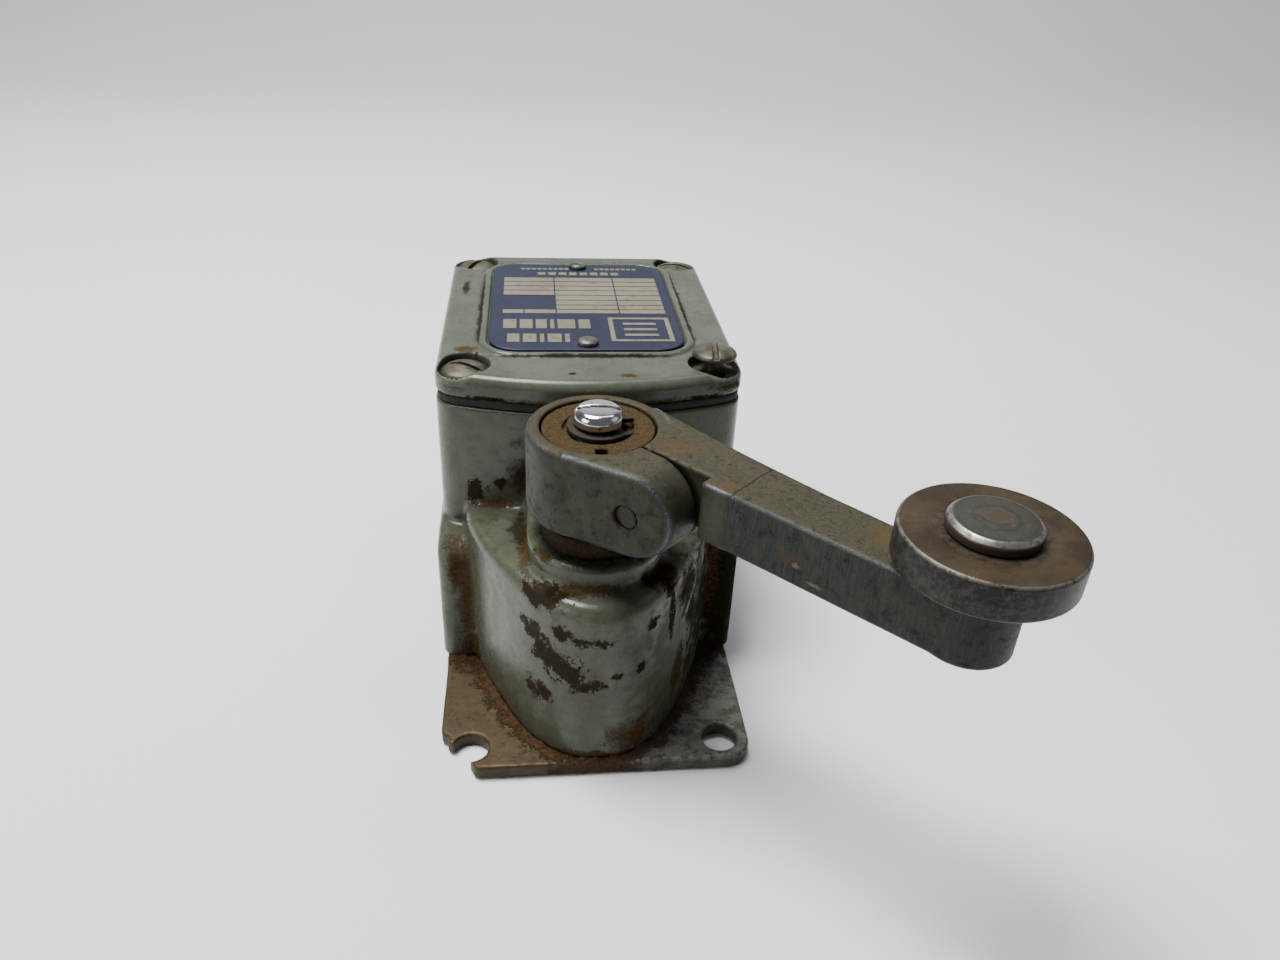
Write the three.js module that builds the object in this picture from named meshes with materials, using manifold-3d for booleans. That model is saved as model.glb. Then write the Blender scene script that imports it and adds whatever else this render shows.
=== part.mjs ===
// Heavy-duty rotary limit switch with a roller lever, in millimetres, +Z up.
// The origin is on the underside of the mounting plate, straight below the lever shaft.
// The shaft stands along +Z, the switch box lies towards +Y and the head's nose towards -Y.
import * as THREE from 'three';
import { mergeVertices } from 'three/addons/utils/BufferGeometryUtils.js';
import Module from 'manifold-3d';

const wasm = await Module();
wasm.setup();

// ---- Driving dimensions ----
const GAP = 0.3;                    // clearance between touching pieces

const PLATE = { width: 63.1, thick: 3.2, front: -21.5, back: 107, corner: 5.5 };
const MOUNT_HOLE = { x: 25.4, nearY: -15.85, farY: 101.65, radius: 3.57 };

const BOX = { half: 31.75, front: 19.9, back: 95.6, corner: 5.95, bow: 4.5 };
const BOX_TOP = 61.7;
const SKIRT = { half: 32.55, front: 11.7, back: 97, corner: 3.2, shoulder: 29.3, top: 34.4 };
const NOSE = { halfAtShaft: 20.65, footSlope: 0.437, topSlope: 0.56, frontDraft: 0.035, edge: 3 };
const NOSE_TOP = 39.5;
const COLLAR = { radius: 13.5, top: 44.5 };
const HEAD_WELL = { radius: 11.5, top: 33.5 };
const CAVITY = { half: 28.4, front: 23.2, back: 92.3, floor: 10, corner: 3 };
const CONDUIT = { radius: 16, bore: 10.5, z: 27, end: 103 };

const GASKET = { bottom: 62.0, top: 63.5 };
const COVER = { bottom: 63.8, top: 68.7, edge: 2.0 };
const COVER_SCREW = { x: 25.8, nearY: 25.8, farY: 89.7, recess: 5.35, head: 4.7, shank: 2.1 };
const LABEL = { half: 21.25, near: 31.2, far: 86.9, corner: 6.5, floor: 68.5, thick: 0.5 };

const SHAFT_R = 5;
const PLUNGER = { z: 21, radius: 3 };

const LEVER_ANGLE = -46.6;          // direction of the arm about the shaft, degrees
const HUB = { radius: 13.5, bore: 10.9, bottom: 50.6, top: 67.8 };
const ARM = { bottom: 56.3, front: -2.7, back: 8.6 };
const CLAMP = { x: 15.7, z: 59.2, radius: 8.6 };
const SLIT = { from: -0.75, to: -0.25, end: 26 };
const ROLLER = { x: 72.3, y: 4.2, radius: 13.6, bottom: 70, top: 76.4, bore: 4.4 };

// Cam lift: the plunger moves 2.5 mm for each 45 degrees of lever.
const CAM = { atPlunger: 8.5, lift: 2.5 / (Math.PI / 4), flat: 6.4, low: 18, high: 24 };

// ---- Materials ----
const finish = (color, roughness, metalness) =>
  new THREE.MeshStandardMaterial({ color, roughness, metalness });
const FINISH = {
  paint: finish(0x8b938a, 0.45, 0.1),
  bareSteel: finish(0x8f8674, 0.6, 0.8),
  zincCast: finish(0x74766a, 0.55, 0.6),
  rusty: finish(0x7a5a36, 0.85, 0.3),
  chrome: finish(0xd8d8dc, 0.15, 1.0),
  darkSteel: finish(0x4c443d, 0.55, 0.7),
  turned: finish(0x9c9a96, 0.35, 0.9),
  rubber: finish(0x1c1c1b, 0.8, 0.0),
  label: finish(0x45507c, 0.5, 0.1),
  screw: finish(0x9a9685, 0.5, 0.6),
  bronze: finish(0x9a7440, 0.45, 0.8),
  spring: finish(0x6d6d70, 0.4, 0.9),
  moulding: finish(0x2a2320, 0.6, 0.0),
  brass: finish(0xb59443, 0.35, 0.9),
  copper: finish(0xb0704a, 0.35, 0.9),
  green: finish(0x2f6b3a, 0.45, 0.5),
};

// ---- Solids ----
// A closed geometry becomes a solid with its faces pointing out.
function solid(geometry) {
  const g = geometry.clone();
  g.deleteAttribute('normal');
  g.deleteAttribute('uv');
  const m = mergeVertices(g, 1e-5);
  const p = m.attributes.position;
  const idx = m.index.array;
  const tris = [];
  const a = new THREE.Vector3();
  const b = new THREE.Vector3();
  const c = new THREE.Vector3();
  let volume = 0;
  for (let i = 0; i < idx.length; i += 3) {
    const [u, v, w] = [idx[i], idx[i + 1], idx[i + 2]];
    if (u === v || v === w || w === u) continue;
    tris.push(u, v, w);
    a.fromBufferAttribute(p, u);
    b.fromBufferAttribute(p, v);
    c.fromBufferAttribute(p, w);
    volume += a.dot(b.cross(c));
  }
  if (volume < 0) {
    for (let i = 0; i < tris.length; i += 3) [tris[i], tris[i + 1]] = [tris[i + 1], tris[i]];
  }
  const vertProperties = new Float32Array(p.array);
  const triVerts = new Uint32Array(tris);
  return new wasm.Manifold(new wasm.Mesh({ numProp: 3, vertProperties, triVerts }));
}

function toGeometry(manifold) {
  const mesh = manifold.getMesh();
  const g = new THREE.BufferGeometry();
  g.setAttribute('position', new THREE.BufferAttribute(new Float32Array(mesh.vertProperties), 3));
  g.setIndex(new THREE.BufferAttribute(new Uint32Array(mesh.triVerts), 1));
  g.computeVertexNormals();
  return g;
}

const union = (first, ...rest) => rest.reduce((sum, s) => sum.add(s), first);
const cut = (first, ...rest) => rest.reduce((sum, s) => sum.subtract(s), first);

function block(x0, x1, y0, y1, z0, z1) {
  const g = new THREE.BoxGeometry(x1 - x0, y1 - y0, z1 - z0);
  g.translate((x0 + x1) / 2, (y0 + y1) / 2, (z0 + z1) / 2);
  return solid(g);
}

function prism(points, z0, z1) {
  const g = new THREE.ExtrudeGeometry(new THREE.Shape(points), { depth: z1 - z0, bevelEnabled: false });
  g.translate(0, 0, z0);
  return solid(g);
}

// A prism whose top edge is rounded; warp, if given, moves each of its points.
function domedPrism(points, z0, z1, edge, steps = 3, warp = null) {
  const g = new THREE.ExtrudeGeometry(new THREE.Shape(points), {
    depth: z1 - z0, bevelEnabled: true, bevelThickness: edge, bevelSize: edge,
    bevelOffset: -edge, bevelSegments: steps,
  });
  g.translate(0, 0, z0 - edge);
  if (warp) {
    const p = g.attributes.position;
    const v = new THREE.Vector3();
    for (let i = 0; i < p.count; i += 1) {
      warp(v.fromBufferAttribute(p, i));
      p.setXYZ(i, v.x, v.y, v.z);
    }
  }
  return solid(g).subtract(block(-200, 200, -200, 200, z0 - 100, z0));
}

// A prism drawn in the YZ plane and extruded along X, or in XZ and extruded along Y.
function prismX(points, x0, x1) {
  const g = new THREE.ExtrudeGeometry(new THREE.Shape(points), { depth: x1 - x0, bevelEnabled: false });
  g.rotateX(Math.PI / 2);
  g.rotateZ(Math.PI / 2);
  g.translate(x0, 0, 0);
  return solid(g);
}

function prismY(points, y0, y1) {
  const g = new THREE.ExtrudeGeometry(new THREE.Shape(points), { depth: y1 - y0, bevelEnabled: false });
  g.rotateX(Math.PI / 2);
  g.translate(0, y1, 0);
  return solid(g);
}

function arc(cx, cy, r, from, to, steps) {
  const list = [];
  for (let i = 0; i <= steps; i += 1) {
    const t = THREE.MathUtils.degToRad(from + ((to - from) * i) / steps);
    list.push(new THREE.Vector2(cx + r * Math.cos(t), cy + r * Math.sin(t)));
  }
  return list;
}

function circle(cx, cy, r, steps = 24) {
  return arc(cx, cy, r, 0, 360 - 360 / steps, steps - 1);
}

function roundedRect(x0, x1, y0, y1, r, steps = 6) {
  return [
    ...arc(x0 + r, y0 + r, r, 180, 270, steps),
    ...arc(x1 - r, y0 + r, r, 270, 360, steps),
    ...arc(x1 - r, y1 - r, r, 0, 90, steps),
    ...arc(x0 + r, y1 - r, r, 90, 180, steps),
  ];
}

const v2 = (list) => list.map(([x, y]) => new THREE.Vector2(x, y));
const drill = (x, y, r, z0, z1, steps = 24) => prism(circle(x, y, r, steps), z0, z1);

function drillY(x, z, r, y0, y1, steps = 24) {
  return prismY(circle(x, z, r, steps), y0, y1);
}

// A turned piece about +Z from a list of [radius, height].
function turned(profile, steps = 24) {
  const g = new THREE.LatheGeometry(v2(profile), steps);
  g.rotateX(Math.PI / 2);
  return solid(g);
}

const ring = (r0, r1, z0, z1, steps = 24) =>
  turned([[r0, z0], [r1, z0], [r1, z1], [r0, z1], [r0, z0]], steps);

// A round wire swept along a path.
function wire(path, radius, steps) {
  const g = new THREE.ExtrudeGeometry(new THREE.Shape(circle(0, 0, radius, 6)), {
    extrudePath: path, steps, bevelEnabled: false,
  });
  return solid(g);
}

class Coil extends THREE.Curve {
  constructor(radius, z0, z1, turns) {
    super();
    Object.assign(this, { radius, z0, z1, turns });
  }

  getPoint(t, target = new THREE.Vector3()) {
    const a = 2 * Math.PI * this.turns * t;
    const z = THREE.MathUtils.lerp(this.z0, this.z1, t);
    return target.set(this.radius * Math.cos(a), this.radius * Math.sin(a), z);
  }
}

const limitSwitch = new THREE.Group();
const lever = new THREE.Group();
lever.rotation.z = THREE.MathUtils.degToRad(LEVER_ANGLE);
limitSwitch.add(lever);

function piece(name, shape, material, parent = limitSwitch) {
  const mesh = new THREE.Mesh(toGeometry(shape), material);
  mesh.name = name;
  parent.add(mesh);
  return mesh;
}

// ---- Outlines of the box ----
// The near wall bows outward between the corners; both arcs meet on one tangent.
const BOW_RADIUS = (() => {
  const s = COVER_SCREW;
  const drop = s.nearY - (BOX.front - BOX.bow);
  const r = BOX.corner;
  return (s.x * s.x + drop * drop - r * r) / (2 * (drop - r));
})();

function boxOutline(inset = 0) {
  const s = COVER_SCREW;
  const r = BOX.corner - inset;
  const centre = BOX.front - BOX.bow + BOW_RADIUS;
  const tilt = THREE.MathUtils.radToDeg(Math.atan2(s.x, centre - s.nearY));
  return [
    ...arc(0, centre, BOW_RADIUS - inset, -90 - tilt, -90 + tilt, 14),
    ...arc(s.x, s.nearY, r, -90 + tilt, 0, 6).slice(1),
    ...arc(s.x, s.farY, r, 0, 90, 6),
    ...arc(-s.x, s.farY, r, 90, 180, 6),
    ...arc(-s.x, s.nearY, r, 180, 270 - tilt, 6).slice(0, -1),
  ];
}

const screwSpots = [
  ['near_left', -COVER_SCREW.x, COVER_SCREW.nearY],
  ['near_right', COVER_SCREW.x, COVER_SCREW.nearY],
  ['far_left', -COVER_SCREW.x, COVER_SCREW.farY],
  ['far_right', COVER_SCREW.x, COVER_SCREW.farY],
];

// Inside of the box: a rounded rectangle less the four screw pillars.
function wellPrism(z0, z1) {
  const c = CAVITY;
  const well = prism(roundedRect(-c.half, c.half, c.front, c.back, c.corner), z0, z1);
  const pillars = screwSpots.map(([, x, y]) => drill(x, y, 6, z0 - 1, z1 + 1, 20));
  return cut(well, ...pillars);
}

// ---- Housing ----
const FOOT = PLATE.thick + GAP;

function skirtBody() {
  const k = SKIRT;
  const plan = prism(roundedRect(-k.half, k.half, k.front, k.back, k.corner, 4), FOOT, k.top);
  const side = [
    [k.front, FOOT - 1], [k.back + 1, FOOT - 1], [k.back + 1, k.top - 2.2], [BOX.back, k.top + 0.1],
    [BOX.front, k.top + 0.1], [k.front + 3.2, k.top - 1.1], [k.front + 1.6, k.top - 2],
    [k.front + 0.5, k.top - 3.4], [k.front, k.shoulder],
  ];
  const across = [
    [-k.half, FOOT - 1], [k.half, FOOT - 1], [k.half, k.top - 1.8],
    [BOX.half, k.top + 0.1], [-BOX.half, k.top + 0.1], [-k.half, k.top - 1.8],
  ];
  return plan.intersect(prismX(v2(side), -40, 40)).intersect(prismY(v2(across), 0, 110));
}

// The nose tapers to a bowed front; its flanks spread more at the top than at the foot.
function noseBody() {
  const n = NOSE;
  const rootY = 30;
  const rootX = n.halfAtShaft + n.footSlope * rootY;
  const outline = [
    new THREE.Vector2(-rootX, rootY),
    ...arc(-7.2, -11.6, 7.7, 203, 250, 4),
    ...arc(0, 9.3, 29.6, 252, 288, 6),
    ...arc(7.2, -11.6, 7.7, 290, 337, 4),
    new THREE.Vector2(rootX, rootY),
  ];
  const twist = (v) => {
    const lean = THREE.MathUtils.clamp((v.z - FOOT) / (NOSE_TOP - FOOT), 0, 1);
    const flank = THREE.MathUtils.clamp(v.x / 13, -1, 1);
    v.x += flank * (n.topSlope - n.footSlope) * v.y * lean;
    if (v.y < 0) v.y -= v.y * n.frontDraft * lean;
  };
  const half = BOX.half - 0.05;
  return domedPrism(outline, FOOT, NOSE_TOP, n.edge, 4, twist).intersect(block(-half, half, -40, 28, 0, 60));
}

function housingShape() {
  const box = prism(boxOutline(), 30, BOX_TOP);
  const collar = union(
    domedPrism(circle(0, 0, COLLAR.radius, 40), NOSE_TOP - 3, COLLAR.top, 1.2, 2),
    domedPrism(v2([[-13.5, 0], [13.5, 0], [13.5, 26], [-13.5, 26]]), NOSE_TOP - 3, COLLAR.top, 1.2, 2)
      .subtract(block(-20, 20, -20, 0.6, 0, 60)),
  );
  const boss = drillY(0, CONDUIT.z, CONDUIT.radius, 90, CONDUIT.end, 36);
  const outer = union(skirtBody(), noseBody(), box, collar, boss);
  const w = HEAD_WELL;
  const inner = [
    wellPrism(CAVITY.floor, BOX_TOP + 5),
    drill(0, 0, w.radius, 0, w.top, 32),
    drill(0, 0, 7.5, w.top - 1, NOSE_TOP),
    drill(0, 0, 9.3, NOSE_TOP - 0.4, COLLAR.top + 5, 28),
    drillY(0, PLUNGER.z, 4.9, 5, 26, 24),
    drillY(0, CONDUIT.z, CONDUIT.bore, 88, CONDUIT.end + 5, 32),
    ...screwSpots.map(([, x, y]) => drill(x, y, 2.4, 40, BOX_TOP + 5, 14)),
    ...plateScrewSpots.map(([, x, y]) => drill(x, y, 2.2, 0, 9.2, 14)),
    ...blockScrewSpots.map(([, x, y]) => drill(x, y, 1.9, 4.8, CAVITY.floor + 2, 12)),
    drill(GROUND_SCREW.x, GROUND_SCREW.y, 2.4, 4.8, CAVITY.floor + 2, 14),
  ];
  return cut(outer, ...inner);
}

// ---- Mounting plate, with its two flush screws up into the housing floor ----
const plateScrewSpots = [['near', 0, 33], ['far', 0, 86]];
const blockScrewSpots = [['near', -15, 36.5], ['far', 15, 81.5]];
const GROUND_SCREW = { x: -24, y: 58 };

// The left near corner is broken off along a line that leaves its bolt hole open.
const BROKEN_OFF = [[-33.5, -8.5], [-42, -30], [-22, -23.9]];

function plateShape() {
  const p = PLATE;
  const m = MOUNT_HOLE;
  const half = p.width / 2;
  const plate = prism(roundedRect(-half, half, p.front, p.back, p.corner), 0, p.thick);
  const holes = [[-1, m.nearY], [1, m.nearY], [-1, m.farY], [1, m.farY]]
    .map(([side, y]) => drill(side * m.x, y, m.radius, -1, p.thick + 1));
  const broken = prism(v2(BROKEN_OFF), -1, p.thick + 1);
  const countersinks = plateScrewSpots.map(([, x, y]) => turned(
    [[0, -0.5], [4.85, -0.5], [2.2, 2.5], [2.2, p.thick + 1], [0, p.thick + 1]], 24,
  ).translate([x, y, 0]));
  return cut(plate, ...holes, broken, ...countersinks);
}

piece('housing', housingShape(), FINISH.paint);
piece('mounting_plate', plateShape(), FINISH.bareSteel);

plateScrewSpots.forEach(([name, x, y]) => {
  const screw = turned([[0, 0.1], [3.95, 0.1], [1.9, 2.4], [1.9, 8.8], [0, 8.8]], 24)
    .subtract(block(-5, 5, -0.5, 0.5, 0, 0.9));
  piece(`plate_screw_${name}`, screw.translate([x, y, 0]), FINISH.screw);
});

// ---- Gasket and cover ----
const coverHole = (r, z0, z1) => screwSpots.map(([, x, y]) => drill(x, y, r, z0, z1, 20));

piece('cover_gasket', cut(
  prism(boxOutline(0.15), GASKET.bottom, GASKET.top),
  wellPrism(GASKET.bottom - 1, GASKET.top + 1),
  ...coverHole(2.6, GASKET.bottom - 1, GASKET.top + 1),
), FINISH.rubber);

function labelOutline(grow) {
  const l = LABEL;
  return roundedRect(-l.half - grow, l.half + grow, l.near - grow, l.far + grow, l.corner + grow, 6);
}

const RIVETS = [['near', 34.4], ['far', 84.2]];

function coverShape() {
  const lid = domedPrism(boxOutline(), COVER.bottom, COVER.top, COVER.edge, 3);
  const rim = prism(labelOutline(2.0), COVER.top - 1, COVER.top + 0.5);
  const hollow = wellPrism(COVER.bottom - 1, COVER.bottom + 1.8);
  return cut(
    lid.add(rim),
    hollow,
    prism(labelOutline(GAP), LABEL.floor, COVER.top + 3),
    ...coverHole(COVER_SCREW.recess, 66.3, COVER.top + 3),
    ...coverHole(2.6, COVER.bottom - 1, COVER.top),
    ...RIVETS.map(([, y]) => drill(0, y, 1.3, 66.6, 70, 16)),
  );
}

piece('cover', coverShape(), FINISH.paint);

piece('nameplate', cut(
  prism(labelOutline(0), LABEL.floor + GAP, LABEL.floor + GAP + LABEL.thick),
  ...RIVETS.map(([, y]) => drill(0, y, 1.3, 66, 72, 16)),
), FINISH.label);

RIVETS.forEach(([name, y]) => {
  const top = LABEL.floor + 2 * GAP + LABEL.thick;
  const rivet = turned([
    [0, 66.9], [1, 66.9], [1, top], [2.3, top], [2.1, top + 0.5], [1.3, top + 0.9], [0, top + 1],
  ], 20);
  piece(`nameplate_rivet_${name}`, rivet.translate([0, y, 0]), FINISH.turned);
});

// Slotted cheese-head screw; seat is the underside of its head.
function coverScrew(seat, length, slotAngle) {
  const s = COVER_SCREW;
  const body = turned([
    [0, seat - length], [s.shank - 0.5, seat - length], [s.shank, seat - length + 0.6], [s.shank, seat],
    [s.head, seat], [s.head, seat + 1.0], [s.head - 0.6, seat + 1.5], [2.6, seat + 1.95], [0, seat + 2.1],
  ], 20);
  const slot = block(-6, 6, -0.5, 0.5, seat + 0.9, seat + 4).rotate([0, 0, slotAngle]);
  return body.subtract(slot);
}

const SCREW_SEATS = { near_left: 66.6, near_right: 70.4, far_left: 66.6, far_right: 66.6 };
const SCREW_SLOTS = { near_left: -28, near_right: 82, far_left: 60, far_right: -12 };
screwSpots.forEach(([name, x, y]) => {
  const screw = coverScrew(SCREW_SEATS[name], 22, SCREW_SLOTS[name]);
  piece(`cover_screw_${name}`, screw.translate([x, y, 0]), FINISH.screw);
});

// ---- Shaft bearings, seal and spring in the head ----
piece('upper_bush', ring(SHAFT_R + GAP, 7.2, 30, 38.8), FINISH.bronze);
piece('lower_bush', ring(SHAFT_R + GAP, HEAD_WELL.radius - GAP, FOOT, FOOT + 4, 32), FINISH.bronze);
piece('shaft_seal', ring(SHAFT_R + GAP, 9, NOSE_TOP - 0.1, COLLAR.top), FINISH.rubber);
piece('seal_retainer', turned([
  [SHAFT_R + GAP, COLLAR.top + GAP], [10.8, COLLAR.top + GAP], [10.8, 48.6], [9.6, 49.4],
  [9.6, HUB.bottom - GAP], [SHAFT_R + GAP, HUB.bottom - GAP], [SHAFT_R + GAP, COLLAR.top + GAP],
], 28), FINISH.rusty);
piece('return_spring', wire(new Coil(7.6, 9, 16.6, 4.25), 0.7, 51), FINISH.spring);

// ---- Shaft and cam ----
piece('shaft', cut(
  turned([[0, 4.2], [4.4, 4.2], [SHAFT_R, 4.8], [SHAFT_R, 65.9], [4.6, 66.3], [0, 66.3]], 24),
  drill(0, 0, 2.45, 56, 70, 20),
), FINISH.darkSteel, lever);

// The cam's face rises evenly with angle where the plunger rides on it.
function camOutline() {
  const list = [];
  for (let a = -180; a < 180; a += 7.5) {
    const r = CAM.atPlunger - CAM.lift * THREE.MathUtils.degToRad(a);
    const inSweep = Math.abs(a) <= 60;
    const radius = inSweep ? Math.min(r, 11.1) : CAM.flat;
    const t = THREE.MathUtils.degToRad(a + 90 - LEVER_ANGLE);
    list.push(new THREE.Vector2(radius * Math.cos(t), radius * Math.sin(t)));
  }
  return list;
}
piece('drive_cam', cut(
  prism(camOutline(), CAM.low, CAM.high),
  drill(0, 0, SHAFT_R + GAP, CAM.low - 1, CAM.high + 1),
), FINISH.darkSteel, lever);

// ---- Lever arm: split hub, clamp ears, arm and roller eye ----
function leverArmShape() {
  const hub = drill(0, 0, HUB.radius, HUB.bottom, HUB.top, 40);
  const side = [
    ...v2([[0, HUB.bottom], [CLAMP.x, HUB.bottom]]),
    ...arc(CLAMP.x, CLAMP.z, CLAMP.radius, -90, 90, 12).slice(1),
    ...v2([[0, CLAMP.z + CLAMP.radius]]),
  ];
  const clampBlock = prismY(side, -16, 16);
  const ear = prism(v2([[0, SLIT.from], [26, SLIT.from], [26, -7.75], [3.04, -13.06], [0, -13.5]]), 40, 80);
  const lug = prism(v2([[0, SLIT.to], [26, SLIT.to], [26, 8.5], [2.7, 13.2], [0, 13.5]]), 40, 80);
  const neckBack = v2([[2.7, 13.2], [25, ARM.back], [62, ARM.back]]);
  const eye = arc(ROLLER.x, ROLLER.y, 7.3, 112, -90, 18);
  const neckFront = v2([[SLIT.end, ARM.front], [SLIT.end, SLIT.to], [0, SLIT.to], [0, 13.2]]);
  const arm = prism([...neckBack, ...eye, ...neckFront], ARM.bottom, HUB.top);
  const body = union(hub, clampBlock.intersect(ear), clampBlock.intersect(lug), arm);
  return cut(
    body,
    drill(0, 0, HUB.bore, HUB.bottom - 1, HUB.top + 1, 36),
    block(9, SLIT.end, SLIT.from, SLIT.to, HUB.bottom - 1, HUB.top + 1),
    drillY(CLAMP.x, CLAMP.z, 2.6, -20, 20, 20),
    drillY(CLAMP.x, CLAMP.z, 4.2, 6.6, 20, 28),
    drill(ROLLER.x, ROLLER.y, 4.3, 50, 70, 28),
  );
}
piece('lever_arm', leverArmShape(), FINISH.zincCast, lever);

// The clamp screw runs across the slit; its socket head sits in the back lug.
const clampScrew = union(
  drillY(CLAMP.x, CLAMP.z, 2.3, -9.6, 8, 20),
  drillY(CLAMP.x, CLAMP.z, 3.8, 6.9, 10.6, 28),
).subtract(drillY(CLAMP.x, CLAMP.z, 1.7, 8.4, 12, 6));
piece('clamp_screw', clampScrew, FINISH.darkSteel, lever);

// The bush is dished on top for the washer, and has a small key notch at its near edge.
const keyway = block(-1.1, 1.1, -12, -8.6, 63.5, 70).rotate([0, 0, -LEVER_ANGLE]);
const bushR = HUB.bore - GAP;
const hubBushing = turned([
  [SHAFT_R + GAP, HUB.bottom + GAP], [bushR, HUB.bottom + GAP], [bushR, 67.4], [7, 67.4], [6.5, 66.6],
  [SHAFT_R + GAP, 66.6], [SHAFT_R + GAP, HUB.bottom + GAP],
], 36);
piece('hub_bushing', hubBushing.subtract(keyway), FINISH.rusty, lever);

// Split spring washer, its two ends sprung apart at the gap.
function lockWasherShape() {
  const flat = ring(2.75, 6.1, 66.9, 68.2, 28);
  return flat.subtract(block(0, 8, -0.9, 0.9, 60, 70).rotate([0, 0, 36 - LEVER_ANGLE - 45]));
}
piece('lock_washer', lockWasherShape(), FINISH.darkSteel, lever);

const centreScrew = turned([
  [0, 57.2], [1.7, 57.2], [2.1, 57.8], [2.1, 68.5], [4.7, 68.5], [4.7, 70.2], [4.2, 71.1],
  [3, 71.5], [0, 71.7],
], 28);
piece('centre_screw', cut(
  centreScrew,
  block(-6, 6, -0.4, 0.4, 70.6, 75).rotate([0, 0, -LEVER_ANGLE - 3]),
  block(4.25, 8, -8, 8, 68, 75).rotate([0, 0, -LEVER_ANGLE]),
), FINISH.chrome, lever);

// ---- Roller on its riveted pin ----
const atRoller = (shape) => shape.translate([ROLLER.x, ROLLER.y, 0]);
const R = ROLLER;
piece('roller', atRoller(turned([
  [R.bore, R.bottom], [R.radius - 0.5, R.bottom], [R.radius, R.bottom + 0.5],
  [R.radius, R.top - 0.5], [R.radius - 0.5, R.top], [R.bore, R.top], [R.bore, R.bottom],
], 48)), FINISH.darkSteel, lever);
piece('roller_pin', atRoller(turned([
  [0, 54.9], [4.6, 54.9], [5, 55.4], [5, 56], [4, 56], [4, R.top + GAP], [6.93, R.top + GAP],
  [6.93, 78.0], [6.2, 78.6], [0, 78.6],
], 28)), FINISH.turned, lever);
piece('roller_washer', atRoller(ring(4.4, 7, HUB.top + GAP, R.bottom - GAP, 24)), FINISH.darkSteel, lever);

// ---- Plunger and contact carrier ----
const tipGap = 0.42;
piece('plunger', turned([
  [0, 0], [1.2, 0.25], [2, 1], [PLUNGER.radius, 1.6], [PLUNGER.radius, 25.5], [0, 25.5],
], 24).rotate([-90, 0, 0]).translate([0, CAM.atPlunger + tipGap, PLUNGER.z]), FINISH.darkSteel);
piece('plunger_guide', ring(PLUNGER.radius + GAP, 4.6, 0, 9.5, 28)
  .rotate([-90, 0, 0]).translate([0, 12.6, PLUNGER.z]), FINISH.bronze);

const BRIDGES = [['front', 47], ['rear', 69]];
function carrierShape() {
  const bar = block(-5, 5, 34.9, 78, 16.5, 33);
  const windows = BRIDGES.map(([, y]) => block(-6, 6, y - 3.4, y + 3.4, 26, 31));
  return cut(bar, ...windows);
}
piece('contact_carrier', carrierShape(), FINISH.moulding);

BRIDGES.forEach(([name, y], i) => {
  const facing = i === 0 ? -1 : 1;
  const bar = block(-15, 15, y - 0.7, y + 0.7, 26.4, 30.6);
  const [tip0, tip1] = [y, y + facing * 1.5].sort((a, b) => a - b);
  const tips = [-13, 13].map((x) => drillY(x, 28.5, 1.6, tip0, tip1, 16));
  piece(`contact_bridge_${name}`, union(bar, ...tips).translate([0, facing * 2.3, 0]), FINISH.copper);
  const coil = wire(new Coil(1.5, 0, 3.2, 3), 0.28, 24).rotate([-90, 0, 0]);
  const back = facing < 0 ? y - 0.7 : y - 2.5;
  piece(`contact_spring_${name}`, coil.translate([0, back, 28.5]), FINISH.spring);
});

// ---- Contact block, terminals and their screws ----
function contactBlockShape() {
  const body = block(-19, 19, 33, 85, CAVITY.floor + GAP, 22);
  return cut(
    body,
    block(-5.5, 5.5, 30, 90, 16, 30),
    ...blockScrewSpots.map(([, x, y]) => drill(x, y, 1.9, 5, 30, 16)),
    ...blockScrewSpots.map(([, x, y]) => drill(x, y, 3.6, 19, 30, 20)),
    ...terminalSpots.map(([, x, y]) => drill(x, y, 1.7, 14, 30, 16)),
  );
}

const terminalSpots = [
  ['front_left', -12.8, 44, -1], ['front_right', 12.8, 44, -1],
  ['rear_left', -12.8, 72, 1], ['rear_right', 12.8, 72, 1],
].map(([name, x, y, facing]) => [name, x, y - facing * 2.2, facing]);

piece('contact_block', contactBlockShape(), FINISH.moulding);
blockScrewSpots.forEach(([name, x, y]) => {
  const screw = turned([
    [0, 5.4], [1.6, 5.4], [1.6, 19.3], [3.2, 19.3], [3.2, 20.8], [2.4, 21.5], [0, 21.5],
  ], 20).subtract(block(-4, 4, -0.4, 0.4, 20.7, 23));
  piece(`block_screw_${name}`, screw.translate([x, y, 0]), FINISH.screw);
});

// Each terminal is a strip with an upright contact that its bridge meets.
terminalSpots.forEach(([name, x, y, facing]) => {
  const meet = facing < 0 ? BRIDGES[0][1] : BRIDGES[1][1];
  const tab = meet + facing * 7.7;
  const y0 = Math.min(tab, y - 3.6);
  const y1 = Math.max(tab, y + 3.6);
  const strip = block(x - 3.4, x + 3.4, y0, y1, 22.3, 23.3);
  const post = block(x - 2.6, x + 2.6, Math.min(tab, tab - facing), Math.max(tab, tab - facing), 22.3, 31);
  const contact = strip.add(post).subtract(drill(x, y, 1.9, 20, 26, 16));
  piece(`terminal_${name}`, contact, FINISH.brass);
  const screw = turned([
    [0, 14.6], [1.4, 14.6], [1.4, 23.6], [2.9, 23.6], [2.9, 24.8], [2.2, 25.4], [0, 25.4],
  ], 20).subtract(block(-4, 4, -0.4, 0.4, 24.7, 27));
  piece(`terminal_screw_${name}`, screw.translate([x, y, 0]), FINISH.brass);
});

const groundScrew = turned([
  [0, 5.4], [2, 5.4], [2, CAVITY.floor + GAP], [3.9, CAVITY.floor + GAP], [3.9, 12], [3, 12.8], [0, 12.8],
], 24).subtract(block(-5, 5, -0.45, 0.45, 11.9, 14));
piece('ground_screw', groundScrew.translate([GROUND_SCREW.x, GROUND_SCREW.y, 0]), FINISH.green);

export default limitSwitch;
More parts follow.
